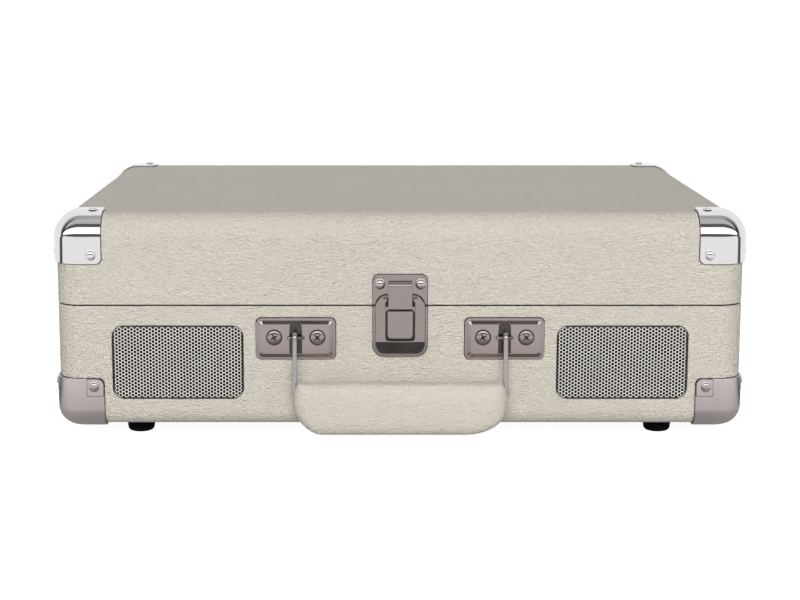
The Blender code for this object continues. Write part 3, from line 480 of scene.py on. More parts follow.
VINYL = leatherette("cream_leatherette", (0.692, 0.642, 0.563))
GRIP_VINYL = leatherette("grip_leatherette", (0.670, 0.625, 0.545), 0.7)
CHROME = metal("bright_chrome", (0.87, 0.85, 0.86), 0.04, 0.00003)
SATIN = metal("satin_plate", (0.73, 0.67, 0.655), 0.26, 0.00002, 0.000006)
NICKEL = metal("black_nickel", (0.44, 0.375, 0.355), 0.1, 0.00003)
LATCH_NICKEL = metal("latch_nickel", (0.385, 0.33, 0.318), 0.08, 0.00005)
BRIGHT_NICKEL = metal("rivet_nickel", (0.62, 0.56, 0.55), 0.08)
# Nickel painted dark: painted shade in the cap grooves, the bracket channels and round the hasp.
SHADED_NICKEL = metal("shaded_nickel", (0.10, 0.085, 0.08), 0.2)
STEEL = metal("plated_wire", (0.50, 0.50, 0.52), 0.14)
GRILLE = metal("painted_mesh", (0.85, 0.81, 0.77), 0.42, share=0.35)
# Also the black of the painted shadow lines, shade strips and recess floors.
BLACK = plastic("black_moulding_and_painted_shade", (0.018, 0.018, 0.02), 0.42)
DECK = plastic("deck_moulding", (0.022, 0.022, 0.024), 0.5, 0.00008, 1500.0)
RED = plastic("red_moulding", (0.45, 0.02, 0.02), 0.3)
WHITE = plastic("white_moulding", (0.75, 0.74, 0.7), 0.35)
# Also the black strip in the lid's seam, which is painted shade.
RUBBER = plastic("black_rubber", (0.003, 0.003, 0.003), 0.75, 0.00005, 1400.0, shine=0.12)
FELT = cloth("black_felt", (0.014, 0.014, 0.016), 1600.0, 0.0002, 0.35)
SPEAKER_CLOTH = cloth("speaker_cloth", (0.006, 0.006, 0.006), 2500.0, 0.0001, 0.1)
LINING = cloth("lid_lining", (0.03, 0.029, 0.028), 900.0, 0.0001, 0.15)
PAPER = cloth("cone_paper", (0.05, 0.045, 0.04), 700.0, 0.00012, 0.05)
BOARD = fibreboard("hardboard", (0.20, 0.12, 0.065))
CIRCUIT = plastic("solder_mask", (0.02, 0.11, 0.05), 0.35)


# The covered case


def case_ring(inset, z):
    """The case's outline from above, pulled in from its sides."""
    radius = max(CORNER_RADIUS - inset, 0.0003)
    outline = rounded_rectangle(2 * (HALF_WIDTH - inset), 2 * (HALF_DEPTH - inset), radius, CORNER_STEPS)
    return [(x, MIDDLE_Y + y, z) for x, y in outline]


def tub_profile():
    """(inset, height) points: from the inner lower edge, round the outside, over the rim and down inside."""
    low, rim = TUB_LOW.z, TUB_HIGH.z - TUB_EASE
    start = degrees(acos((WALL - BOTTOM_RADIUS) / BOTTOM_RADIUS))
    under = arc((BOTTOM_RADIUS, low + BOTTOM_RADIUS), BOTTOM_RADIUS, -start, -180, EDGE_STEPS)
    outer = arc((RIM_RADIUS, rim - RIM_RADIUS), RIM_RADIUS, 180, 90, 5)
    inner = arc((WALL - RIM_RADIUS, rim - RIM_RADIUS), RIM_RADIUS, 90, 0, 5)
    return under + outer + inner


def opening(bm, node, size, corner, face, inward):
    """The shape with a hole cut through its wall at a node. The hole's outer edge is rolled in."""
    middle = centre_of(node)
    width, height = [length + 2 * GAP for length in size]

    def ring(spread, depth):
        grown = (width + 2 * spread, height + 2 * spread)
        outline = rounded_rectangle(*grown, corner + spread, 8, (middle.x, middle.z))
        return facing(outline, face + inward * depth)

    outside, inside, steps = -0.004, 0.02, 5
    turns = [radians(90 * i / steps) for i in range(steps + 1)]
    rolled = [ring(WINDOW_ROLL * (1 - sin(turn)), WINDOW_ROLL * (1 - cos(turn))) for turn in turns]
    return boolean(bm, loft([ring(WINDOW_ROLL, outside), *rolled, ring(0, inside)]))


def make_tub():
    tub = loft([case_ring(inset, z) for inset, z in tub_profile()], closed=True)
    for side, _sign in SIDES:
        tub = opening(tub, f"grille_{side}", GRILLE_SIZE, GRILLE_CORNER + GAP, FRONT, 1)
    low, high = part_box("rear_jack_panel")
    tub = opening(tub, "rear_jack_panel", (high.x - low.x, high.z - low.z), PANEL_CORNER, BACK, -1)
    piece("case_cover", tub, VINYL, "base_tub")


def make_lid():
    low, top = LID_LOW.z + LID_EASE, LID_HIGH.z
    centre_z = top - TOP_RADIUS * sin(radians(TOP_SWEEP))
    edge = arc((TOP_RADIUS, centre_z), TOP_RADIUS, 180, 180 - TOP_SWEEP, EDGE_STEPS)
    start = edge[-1][0]
    groove = [(start + 1.2 * CREASE, top - CREASE), (start + 2.4 * CREASE, top), (start + 25 * CREASE, top)]
    roof = top - LID_ROOF
    inside = arc((LID_WALL + ROOF_FILLET, roof - ROOF_FILLET), ROOF_FILLET, 90, 180, 6)
    inside.append((LID_WALL, low + LINING_EDGE))
    rim_inner = arc((LID_WALL - RIM_RADIUS, low + RIM_RADIUS), RIM_RADIUS, 0, -90, 5)
    rim_outer = arc((RIM_RADIUS, low + RIM_RADIUS), RIM_RADIUS, -90, -180, 5)
    profile = inside + rim_inner + rim_outer + edge + groove
    bands = [1 if i < len(inside) else 0 for i in range(len(profile) - 1)]
    lid = loft([case_ring(inset, z) for inset, z in profile], materials=bands)
    piece("lid_cover", lid, (VINYL, LINING), "lid_shell")
    # A black strip set back in the seam: painted shade that darkens the seam line.
    near, far = 0.0005, 0.0016
    up, down = low + 0.0001, low - 0.0005
    seam_shade = [case_ring(inset, z) for inset, z in ((near, up), (far, up), (far, down), (near, down))]
    piece("lid_seam_shade", loft(seam_shade, closed=True), RUBBER, body="lid")


# Metal corners

CAP_REACH_X = 0.025
CAP_REACH_Y = 0.022
CAP_OUT = 0.0013
CAP_SKIN = 0.0010
CAP_CORNER = 0.0032
CAP_SHADOW_LINE = 0.0003  # the black sheet under a cap shows this far round it, as a painted shadow line
CAP_SHADOW_LINE_HALF = 0.0004  # the painted-shadow sheet's half thickness, inside and outside the case's skin
CAP_RIVET = 0.0028
CAP_DOME = 0.0013
CAP_RIVET_INSET = 0.0052
CAP_TOP_RIVET_Y = 0.0116
TAB_SIZE = (0.0086, 0.0090)
TAB_CORNERS = (0.0008, 0.003, 0.0008, 0.0008)
TAB_GROOVE_SHADE = 0.0005
TAB_HEIGHT = 0.0004


def cap_block(out, upper):
    """The whole case's form, grown by a distance, as far as the caps need it."""
    middle = 0.04
    if upper:
        top = LID_HIGH.z
        centre_z = top - TOP_RADIUS * sin(radians(TOP_SWEEP))
        radius = TOP_RADIUS + out
        sweep_end = degrees(asin((top + out - centre_z) / radius))
        edge = arc((TOP_RADIUS, centre_z), radius, 180, 180 - sweep_end, EDGE_STEPS)
        profile = [(-out, LID_LOW.z), *edge, (middle, top + out)]
    else:
        centre_z = TUB_LOW.z + BOTTOM_RADIUS
        edge = arc((BOTTOM_RADIUS, centre_z), BOTTOM_RADIUS + out, -90, -180, EDGE_STEPS)
        profile = [(middle, TUB_LOW.z - out), *edge, (-out, TUB_HIGH.z)]
    return loft([case_ring(inset, z) for inset, z in profile])


def cap_region(upper, edge_z, grow=0.0):
    """The box that holds the front left cap, with its three inner edges rounded."""
    edge = edge_z - grow if upper else edge_z + grow
    corner = Vector((-HALF_WIDTH + CAP_REACH_X + grow, FRONT + CAP_REACH_Y + grow, edge))
    beyond = 0.06
    far = corner + Vector((-beyond, -beyond, beyond if upper else -beyond))
    bm = block([min(a, b) for a, b in zip(corner, far)], [max(a, b) for a, b in zip(corner, far)])
    inner = min(bm.verts, key=lambda v: (v.co - corner).length)
    rounded = list(inner.link_edges)
    bmesh.ops.bevel(bm, geom=rounded, offset=CAP_CORNER, segments=6, profile=0.5, affect="EDGES")
    return bm


def rivet(radius, height, place):
    """A domed rivet head with a thin flange, in the second material slot."""
    flange = 0.12 * radius
    turns = [radians(a) for a in range(0, 91, 10)]
    profile = [(radius * 0.86 * sin(a), flange + (height - flange) * cos(a)) for a in turns]
    profile += [(radius * 0.9, flange * 0.7), (radius, flange * 0.5), (radius, 0), (0, 0)]
    return painted(lathe(profile, 32, place=place), 1)


def cap_tab():
    """The low raised patch that a lower cap's rivet sits on, with a flat dark ring round it that paints the
    shade of a groove.
    """
    sunk, groove_height = -0.0003, 0.00004
    patch = slab(rounded_rectangle(*TAB_SIZE, TAB_CORNERS, 5), sunk, TAB_HEIGHT)
    wider = [length + TAB_GROOVE_SHADE for length in TAB_SIZE]
    # painted shade: a flat dark ring round the patch
    groove = slab(rounded_rectangle(*wider, TAB_CORNERS, 5), sunk, groove_height)
    return merged(soften(patch, 0.00015, 2, 60), painted(groove, 2))


def make_cap(upper, edge_z):
    """The front left cap: plate in slot 0, rivets in slot 1, the painted groove shade in slot 2."""
    corner = boolean(cap_block(CAP_OUT, upper), cap_region(upper, edge_z), "INTERSECT")
    corner = boolean(corner, cap_block(CAP_OUT - CAP_SKIN, upper))
    corner = soften(corner, 0.00022, 2, 50)
    spot_x = -HALF_WIDTH + CAP_REACH_X - CAP_RIVET_INSET
    spot_y = FRONT + CAP_REACH_Y - CAP_RIVET_INSET
    spot_z = edge_z + (0.0047 if upper else -0.0043)
    level = LID_HIGH.z + CAP_OUT if upper else TUB_LOW.z - CAP_OUT
    front = to_front(spot_x, FRONT - CAP_OUT, spot_z)
    side = at(-HALF_WIDTH - CAP_OUT, spot_y, spot_z) @ Matrix.Rotation(-pi / 2, 4, "Y")
    flat = at(spot_x, FRONT + CAP_TOP_RIVET_Y, level)
    if upper:
        return merged(corner, *(rivet(CAP_RIVET, CAP_DOME, place) for place in (front, side, flat)))
    tabs = [moved(cap_tab(), front @ at(0.0006, -0.0005, 0)), moved(cap_tab(), side @ at(-0.0005, 0.0006, 0))]
    lift = at(0, 0, TAB_HEIGHT - 0.0001)
    heads = [rivet(CAP_RIVET, CAP_DOME, place @ lift) for place in (front, side)]
    flat_head = rivet(CAP_RIVET, 0.0006, flat @ Matrix.Rotation(pi, 4, "X"))
    return merged(corner, *tabs, *heads, flat_head)


def cap_shadow_line(upper, edge_z):
    """A thin black sheet under a cap, which shows round the cap's edge as a painted shadow line."""
    shadow_line = boolean(cap_block(CAP_SHADOW_LINE_HALF, upper), cap_region(upper, edge_z, CAP_SHADOW_LINE), "INTERSECT")
    return boolean(shadow_line, cap_block(-CAP_SHADOW_LINE_HALF, upper))


def make_caps():
    for name, plate, rivets in (("upper", CHROME, CHROME), ("lower", SATIN, BRIGHT_NICKEL)):
        upper = name == "upper"
        edge_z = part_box(f"corner_{name}_front_left")[0 if upper else 1].z
        for side, x_sign in SIDES:
            for end, y_sign in ENDS:
                node = f"corner_{name}_{end}_{side}"
                cap = flipped(make_cap(upper, edge_z), -x_sign, -y_sign)
                piece(f"{name}_cap_{end}_{side}", cap, (plate, rivets, SHADED_NICKEL), node)
                # the black sheet under the cap's edge: a painted shadow line
                shadow_line = flipped(cap_shadow_line(upper, edge_z), -x_sign, -y_sign)
                piece(f"{name}_cap_bed_{end}_{side}", shadow_line, BLACK, body=BODIES[node])


# Speaker grilles

HOLE_PITCH = 0.00186
HOLE_RADIUS = 0.00081
MESH_SHEET = 0.0003
GRILLE_BEND = 0.0007
GRILLE_DEPTH = 0.0072


def perforated(outline, x, z, y):
    """A sheet of six-sided cells, each with a round hole, clipped to an outline."""
    column = HOLE_PITCH * sqrt(3) / 2
    cell = HOLE_PITCH / sqrt(3)
    corners = [(cell * cos(radians(a)), cell * sin(radians(a))) for a in range(0, 360, 60)]
    rim = []
    for a, b in zip(corners, corners[1:] + corners[:1]):
        rim += [a, ((a[0] + b[0]) / 2, (a[1] + b[1]) / 2)]
    hole = [(HOLE_RADIUS * cos(radians(a)), HOLE_RADIUS * sin(radians(a))) for a in range(0, 360, 30)]
    bm = bmesh.new()
    width, height = GRILLE_SIZE
    across = int(width / 2 / column) + 2
    up = int(height / 2 / HOLE_PITCH) + 2
    for i in range(-across, across + 1):
        for j in range(-up, up + 1):
            cx = x + i * column
            cz = z + (j + 0.5 * (i % 2)) * HOLE_PITCH
            outer = [bm.verts.new((cx + dx, y, cz + dz)) for dx, dz in rim]
            inner = [bm.verts.new((cx + dx, y, cz + dz)) for dx, dz in hole]
            for k in range(len(rim)):
                m = (k + 1) % len(rim)
                bm.faces.new((outer[k], outer[m], inner[m], inner[k]))
    bmesh.ops.remove_doubles(bm, verts=bm.verts, dist=1e-6)
    for (ax, az), (bx, bz) in zip(outline, outline[1:] + outline[:1]):
        if hypot(bx - ax, bz - az) < 1e-6:
            continue
        outward = Vector((bz - az, 0, ax - bx))
        geometry = bm.verts[:] + bm.edges[:] + bm.faces[:]
        bmesh.ops.bisect_plane(
            bm, geom=geometry, dist=1e-6, plane_co=(ax, y, az), plane_no=outward, clear_outer=True
        )
    return bm


def make_grille(side):
    middle = centre_of(f"grille_{side}")
    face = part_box(f"grille_{side}")[0].y

    def outline(inset, steps=8):
        size = [length - 2 * inset for length in GRILLE_SIZE]
        return rounded_rectangle(*size, GRILLE_CORNER - inset, steps, (middle.x, middle.z))

    sheet = perforated(outline(GRILLE_BEND, 6), middle.x, middle.z, face)
    mesh_part = piece(f"grille_mesh_{side}", sheet, GRILLE, f"grille_{side}", flat=True)
    thick = mesh_part.modifiers.new("sheet", "SOLIDIFY")
    thick.thickness = MESH_SHEET
    thick.offset = -1
    centre = (GRILLE_BEND, GRILLE_BEND)
    rolled = [*arc(centre, GRILLE_BEND, -90, -180, 5), (0, GRILLE_DEPTH), (MESH_SHEET, GRILLE_DEPTH)]
    rolled += arc(centre, GRILLE_BEND - MESH_SHEET, -180, -90, 3)
    rings = [facing(outline(inset), face + depth) for inset, depth in rolled]
    piece(f"grille_rim_{side}", loft(rings, closed=True), BLACK, body="case")
    behind = face + MESH_SHEET
    backing = prism(outline(0.0008), behind + 0.0003, behind + 0.0007)
    piece(f"grille_cloth_{side}", backing, SPEAKER_CLOTH, body="case")


# Latch

PLATE_BACK = FRONT - GAP
PLATE_FACE = PLATE_BACK - 0.0008
PLATE_X = 0.0143
LID_PLATE_CORNER = 0.0035
KEEPER_CORNER = 0.006
PLATE_SHADOW_LINE = 0.00025  # the black sheet behind a plate shows this far round it, as a painted shadow line
SHADOW_LINE_DEPTHS = (FRONT - 0.00005, PLATE_BACK - 0.00005)
SHADE_DEPTHS = (PLATE_FACE + 0.0001, PLATE_FACE - 0.0001)
SHADE_WIDTH = 0.0152
LATCH_RIVET_X = 0.0107
LATCH_RIVET_Z = 0.0851
STRAP_X = 0.0063
STRAP_TOP = 0.0866
STRAP_BOTTOM = 0.0719
STRAP_OUT = 0.0051
STRAP_BEND = 0.0021
HOOK_BEND = 0.0008
BOSS_X = 0.0067
BOSS_LOW = 0.0562
BOSS_HIGH = 0.0710
BOSS_CORNER = 0.0022


def plate_outline(near, far, radius, grow=0.0):
    """A latch plate's outline, from its straight end near the seam to its rounded end."""
    way = 1 if far > near else -1
    width, end = PLATE_X + grow, far + way * grow
    corner = arc((width - radius, end - way * radius), radius, 0, way * 90, 8)
    return mirrored([(0, near), (width, near), *corner, (0, end)])


def pressed_plate(near, far, radius):
    """A latch plate with soft edges, and the black sheet behind it that shows round its edge as a painted
    shadow line.
    """
    plate = prism(plate_outline(near, far, radius), PLATE_BACK, PLATE_FACE)
    shadow_line = prism(plate_outline(near, far, radius, PLATE_SHADOW_LINE), *SHADOW_LINE_DEPTHS)
    return soften(plate, 0.0004, 3), shadow_line


def make_lid_plate():
    plate, shadow_line = pressed_plate(LID_LOW.z + GAP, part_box("latch_lid_plate")[1].z, LID_PLATE_CORNER)
    root, inner = 0.0009, 0.0019
    side = [(root, STRAP_TOP)]
    side += arc((STRAP_OUT - STRAP_BEND, STRAP_TOP - STRAP_BEND), STRAP_BEND, 90, 0, 6)
    side += arc((STRAP_OUT - HOOK_BEND, STRAP_BOTTOM + HOOK_BEND), HOOK_BEND, 0, -90, 3)
    side += [(inner + 0.0007, STRAP_BOTTOM), (inner, STRAP_BOTTOM + 0.0007)]
    side += [(inner, STRAP_BOTTOM + 0.0027), (root, STRAP_BOTTOM + 0.0027)]
    strap = loft([[(x, FRONT - out, z) for out, z in side] for x in (-STRAP_X, STRAP_X)])
    places = [to_front(x, PLATE_FACE, LATCH_RIVET_Z) for x in (-LATCH_RIVET_X, LATCH_RIVET_X)]
    heads = [rivet(0.0029, 0.0015, place) for place in places]
    shape = merged(plate, soften(strap, 0.0003, 2, 60), *heads)
    piece("latch_upper_plate", shape, (LATCH_NICKEL, BRIGHT_NICKEL), "latch_lid_plate")
    # painted shade: a black strip on the plate's face behind the strap's bent end
    shade = prism(rounded_rectangle(SHADE_WIDTH, 0.0026, 0.0004, 4, (0, 0.0758)), *SHADE_DEPTHS)
    piece("latch_upper_shade", merged(shade, shadow_line), BLACK, body="lid")


def make_keeper():
    low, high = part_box("latch_keeper_plate")
    plate, shadow_line = pressed_plate(high.z, low.z + 0.0008, KEEPER_CORNER)
    corner = arc((BOSS_X - BOSS_CORNER, BOSS_LOW + BOSS_CORNER), BOSS_CORNER, -90, 0, 6)
    boss = mirrored([(0, BOSS_LOW), *corner, (BOSS_X, BOSS_HIGH), (0, BOSS_HIGH)])
    raised = soften(prism(boss, PLATE_FACE + 0.0002, FRONT - 0.0022), 0.0003, 3)
    piece("latch_lower_plate", merged(plate, raised), LATCH_NICKEL, "latch_keeper_plate")
    # painted shade: a black patch on the plate's face round the boss, where it shows through the hasp's
    # window
    shade = prism(rounded_rectangle(SHADE_WIDTH, 0.0165, 0.002, 6, (0, 0.0634)), *SHADE_DEPTHS)
    piece("latch_shade", merged(shade, shadow_line), BLACK, body="case")


HASP_X = 0.013
HASP_BOTTOM = 0.0486
HASP_FOOT = 0.0045  # the radius of the lower corners
HASP_ARM = 0.0063  # the radius of the shoulders
HASP_AXIS_Y = FRONT - 0.0031
HASP_AXIS_Z = 0.0784
HASP_HALF = 0.0006  # half the sheet's thickness
HASP_BAR = 0.001
HASP_BAR_END = 0.009
WINDOW_HALF = 0.0077
WINDOW_LOW = 0.0552
WINDOW_CORNER = 0.0025
LIP_TOP = 0.0549
LIP_LEAN = 10  # degrees


def hasp_outline(grow=0.0):
    """The hasp's outline with the window for the keeper's boss, open at the top where the bar runs."""
    shoulder = HASP_AXIS_Z + 0.0012
    half = [(0, HASP_BOTTOM - grow)]
    half += arc((HASP_X - HASP_FOOT, HASP_BOTTOM + HASP_FOOT), HASP_FOOT + grow, -90, 0, 8)
    half += arc((HASP_X - HASP_ARM, shoulder - HASP_ARM), HASP_ARM + grow, 0, 90, 10)
    half += [(WINDOW_HALF - 0.001, HASP_AXIS_Z - 0.0019), (WINDOW_HALF, HASP_AXIS_Z - 0.0029)]
    half += arc((WINDOW_HALF - WINDOW_CORNER, WINDOW_LOW + WINDOW_CORNER), WINDOW_CORNER, 0, -90, 5)
    return mirrored([*half, (0, WINDOW_LOW)])


def leaned(bm):
    """Bends the hasp's lip forward below a crisp line."""
    for level in (LIP_TOP, LIP_TOP - 0.0005):
        geometry = bm.verts[:] + bm.edges[:] + bm.faces[:]
        bmesh.ops.bisect_plane(bm, geom=geometry, plane_co=(0, 0, level), plane_no=(0, 0, 1))
    for vert in bm.verts:
        vert.co.y -= tan(radians(LIP_LEAN)) * max(LIP_TOP - vert.co.z, 0)
    return bm


def make_hasp():
    back = HASP_AXIS_Y + HASP_HALF
    sheet = soften(leaned(prism(hasp_outline(), back, HASP_AXIS_Y - HASP_HALF)), 0.00038, 3)
    # painted shadow: a dark sheet just larger than the hasp, behind it, that shows round its edge as a shadow
    # line
    lining = leaned(prism(hasp_outline(PLATE_SHADOW_LINE), back + 0.0002, back + 0.0001))
    profile = [(0, -HASP_BAR_END), (HASP_BAR, -HASP_BAR_END), (HASP_BAR, HASP_BAR_END), (0, HASP_BAR_END)]
    bar = lathe(profile, 20, place=at(0, HASP_AXIS_Y, HASP_AXIS_Z) @ Matrix.Rotation(pi / 2, 4, "Y"))
    shape = merged(sheet, bar, painted(lining, 1))
    piece("latch_hasp_frame", shape, (LATCH_NICKEL, SHADED_NICKEL), "latch_hasp", sharp=8)


# Handle

BRACKET_STEPS = ((0, 0), (0, 0.0007), (0.0003, 0.001), (0.0012, 0.001), (0.0014, 0.0013))
BRACKET_STEPS += ((0.003, 0.0022), (0.0032, 0.0024))  # (inset, height) of its pressed edge
BRACKET_TOP = PLATE_BACK - 0.0024
SLOT_X = 0.0032
SLOT_LOW = 0.0487
SLOT_TOP = 0.0655
STAPLE_Y = FRONT - 0.0042  # the axis that the handle swings about
STAPLE_Z = 0.057
STAPLE_BEND = 0.0012
STAPLE_RADIUS = 0.0009
SCREW_RADIUS = 0.0037
SCREW_X = 0.0113


def cross(reach, width, low, high):
    """The two arms of a cross recess."""
    along = block((-reach, -width, low), (reach, width, high))
    return along, block((-width, -reach, low), (width, reach, high))


def pan_screw(radius, place):
    """A pan head with a cross recess, and a floor for the recess that the callers give black, as painted
    shade.
    """
    rim, rise, floor_height = 0.0003, 0.0008, 0.0004
    turns = [radians(a) for a in range(0, 91, 9)]
    dome = [(radius * sin(a) ** 0.8, rim + rise * cos(a)) for a in turns]
    head = lathe([*dome, (radius, 0), (0, 0)], 32)
    reach, width = 0.5 * radius, 0.12 * radius
    for arm in cross(reach, width, floor_height, 0.003):
        head = boolean(head, arm)
    floor = merged(*cross(reach * 0.99, width * 0.98, floor_height - 0.0001, floor_height + 0.00005))
    return moved(head, place), moved(floor, place)


def staple(x):
    """The bent pin in a bracket's slot, which the handle's wire hooks over."""
    ear = SLOT_X + 0.0007
    root, front = PLATE_BACK - 0.0006, STAPLE_Y + STAPLE_BEND
    route = [(x - ear, root)]
    route += arc((x - ear + STAPLE_BEND, front), STAPLE_BEND, 180, 270, 5)
    route += arc((x + ear - STAPLE_BEND, front), STAPLE_BEND, -90, 0, 5)
    route += [(x + ear, root)]
    return sweep([(px, py, STAPLE_Z) for px, py in route], STAPLE_RADIUS, 14)


def make_bracket(side):
    low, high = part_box(f"handle_bracket_{side}")
    x, z = (low.x + high.x) / 2, (low.z + high.z) / 2
    width, height = high.x - low.x, high.z - low.z
    rings = []
    for inset, out in BRACKET_STEPS:
        corner = max(0.0027 - 0.5 * inset, 0.001)
        outline = rounded_rectangle(width - 2 * inset, height - 2 * inset, corner, 6, (x, z))
        rings.append(facing(outline, PLATE_BACK - out))
    arch = arc((x, SLOT_TOP - SLOT_X), SLOT_X, 0, 180, 12)
    slot = [(x + SLOT_X, SLOT_LOW), *arch, (x - SLOT_X, SLOT_LOW)]
    plate = boolean(loft(rings), prism(slot, PLATE_BACK - 0.00025, PLATE_BACK - 0.006))
    plate = soften(plate, 0.00018, 2, 50)
    shadow_line = rounded_rectangle(width + 2 * PLATE_SHADOW_LINE, height + 2 * PLATE_SHADOW_LINE, 0.0028, 6, (x, z))
    # painted shadows in black: a line round the plate, a ring round each screw head and the floors of the
    # cross recesses
    screws, dark = [], [prism(shadow_line, *SHADOW_LINE_DEPTHS)]
    for end, turn in ((-1, 0.5), (1, 0.75)):
        place = to_front(x + end * SCREW_X, BRACKET_TOP, STAPLE_Z + 0.0001)
        head, recess = pan_screw(SCREW_RADIUS, place @ Matrix.Rotation(turn, 4, "Z"))
        screws.append(head)
        near, far = SCREW_RADIUS - 0.0002, SCREW_RADIUS + 0.0006
        # a black ring round the head: painted shadow
        ring = lathe([(near, 0.00002), (far, 0.00006), (far, 0), (near, -0.0001)], 40, True, place)
        dark += [ring, recess]
    piece(f"bracket_{side}", merged(plate, staple(x), *screws), NICKEL, f"handle_bracket_{side}", sharp=20)
    piece(f"bracket_shadows_{side}", merged(*dark), BLACK, body="case")
    # The slot's metal floor in shaded nickel: painted shade in the channel.
    slot = [(sx * 0.98 + 0.02 * x, sz) for sx, sz in slot]
    floor = prism(slot, PLATE_BACK - 0.0002, PLATE_BACK - 0.0003)
    piece(f"bracket_channel_{side}", floor, SHADED_NICKEL, body="case")


def make_bail():
    """The wire that runs from one staple through the grip to the other."""
    x, eye_radius, bend, wire = 0.0551, 0.0023, 0.004, 0.0013
    grip_y, run_z = FRONT - 0.0095, 0.025
    turns = [radians(a) for a in range(225, -1, -15)]
    eye = [(x, STAPLE_Y - eye_radius * cos(a), STAPLE_Z + eye_radius * sin(a)) for a in turns]
    top = Vector(eye[-1])
    low = Vector((x, grip_y, run_z + bend))
    leg = [tuple(top.lerp(low, t)) for t in (0.06, 0.2, 0.4, 0.6, 0.8, 0.94)]
    corner = [(px, grip_y, pz) for px, pz in arc((x - bend, run_z + bend), bend, 0, -90, 6)]
    half = eye + leg + corner
    other = [(-px, py, pz) for px, py, pz in reversed(half)]
    piece("handle_wire", sweep(half + other, wire, 16), STEEL, "handle_bail")


GRIP_LEFT = (0.0145, 1.6)  # how long a lower corner is, and how square
GRIP_RIGHT = (0.022, 2.0)
GRIP_UPPER = (0.003, 1.35)
GRIP_ROUND = 0.009
GRIP_POWER = 0.62
GRIP_END = 0.024  # at each end the sections lie closer together
GRIP_STEPS = 12
GRIP_SIDES = 40


def yet_to_go(reach, width, power):
    """How far, of 1, a rounded corner has yet to go at a distance from the end."""
    left = 1 - min(reach / width, 1)
    return 1 - (1 - left**power) ** (1 / power)


def squarer(value):
    """A sine or cosine that makes an ellipse squarer."""
    return copysign(abs(value) ** GRIP_POWER, value)


def make_grip():
    """A stuffed, covered grip, lofted from one end to the other."""
    low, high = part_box("handle_grip")
    half = (high.x - low.x) / 2
    y, half_thick = (low.y + high.y) / 2, (high.y - low.y) / 2
    stations = [-half + GRIP_END * (1 - cos(radians(90 * i / GRIP_STEPS))) for i in range(GRIP_STEPS)]
    stations += [-half + GRIP_END + 2 * (half - GRIP_END) * i / 10 for i in range(11)]
    stations += [-x for x in reversed(stations[:GRIP_STEPS])]
    turns = [2 * pi * k / GRIP_SIDES for k in range(GRIP_SIDES)]
    rings = []
    for x in stations:
        reach = half - abs(x)
        under = low.z + 0.0158 * yet_to_go(reach, *(GRIP_LEFT if x < 0 else GRIP_RIGHT))
        over = high.z - 0.0085 * yet_to_go(reach, *GRIP_UPPER)
        middle, rise = (under + over) / 2, max((over - under) / 2, 0.0001)
        round_end = sqrt(max(1 - (1 - min(reach / GRIP_ROUND, 1)) ** 2, 0))
        thick = half_thick * max(round_end, 0.02)
        rings.append([(x, y + thick * squarer(cos(a)), middle + rise * squarer(sin(a))) for a in turns])
    grip = piece("padded_grip", loft(rings), GRIP_VINYL, "handle_grip", sharp=180)


# Feet and hinges


def make_feet():
    rounding, hollow, bore = 0.0022, 0.0012, 0.0024
    rim = arc((0.0050, rounding), rounding, -90, -10, 6)
    for side, _sign in SIDES:
        for end, _sign in ENDS:
            node = f"foot_{end}_{side}"
            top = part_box(node)[1].z
            profile = [(0, hollow), (bore, hollow), (bore + 0.0002, 0), *rim, (0.0080, top), (0, top)]
            piece(node + "_rubber", lathe(profile, 40, place=upright(node)), RUBBER, node)


def make_hinges():
    screw_x, screw_z, leaf_face = 0.0105, 0.011, BACK + GAP + 0.0012
    for side, _sign in SIDES:
        for part in ("base", "lid"):
            node = f"hinge_{part}_leaf_{side}"
            low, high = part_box(node)
            middle = (low.x + high.x) / 2
            z = high.z - screw_z if part == "lid" else low.z + screw_z
            places = [at(x, leaf_face, z) for x in (middle - screw_x, middle + screw_x)]
            to_back = Matrix.Rotation(-pi / 2, 4, "X")
            heads, recess_shades = zip(*(pan_screw(0.0028, place @ to_back) for place in places))
            leaf = soften(copy_of(node), 0.0003, 2, 60)
            piece(f"hinge_{part}_{side}", merged(leaf, *heads), NICKEL, node)
            # the recess floors in black: painted shade
            piece(f"hinge_{part}_recesses_{side}", merged(*recess_shades), BLACK, body=BODIES[node])
        refine(f"hinge_pin_{side}", STEEL, 0.0002)


# Deck and arm


def make_platter():
    bore, rounding = 0.0039, 0.0012
    low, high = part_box("platter")
    place = upright("platter")
    radius, top = (high.x - low.x) / 2, high.z
    groove, inner, skirt, underside = radius - 0.0041, radius - 0.0025, 0.0708, top - 0.0025
    hub, rib_inner, rib_outer, rib_low = 0.009, 0.0525, 0.055, 0.0702
    profile = [(bore, top), (groove - 0.0004, top), (groove, top - 0.0003), (groove + 0.0005, top)]
    profile += arc((radius - rounding, top - rounding), rounding, 90, 0, 5)
    profile += [(radius, skirt), (inner, skirt), (inner, underside), (rib_outer, underside)]
    profile += [(rib_outer, rib_low), (rib_inner, rib_low), (rib_inner, underside)]
    profile += [(hub, underside), (hub, low.z), (bore, low.z)]
    piece("platter_disc", lathe(profile, 128, closed=True, place=place), BLACK, "platter")

    low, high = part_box("slipmat")
    edge, top = (high.x - low.x) / 2, high.z
    profile = [(bore, top), (edge - 0.0006, top), (edge - 0.0001, top - 0.0005), (edge, low.z), (bore, low.z)]
    piece("felt_mat", lathe(profile, 128, closed=True, place=place), FELT, "slipmat")

    low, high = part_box("platter_spindle")
    shaft, nose, flange, flange_top = 0.00355, 0.004, 0.012, 0.0656
    turns = [radians(a) for a in range(0, 91, 10)]
    profile = [(shaft * sin(a), high.z - nose + nose * cos(a)) for a in turns]
    profile += [(shaft, flange_top), (flange, flange_top), (flange, low.z), (0, low.z)]
    piece("spindle_post", lathe(profile, 32, place=place), STEEL, "platter_spindle")


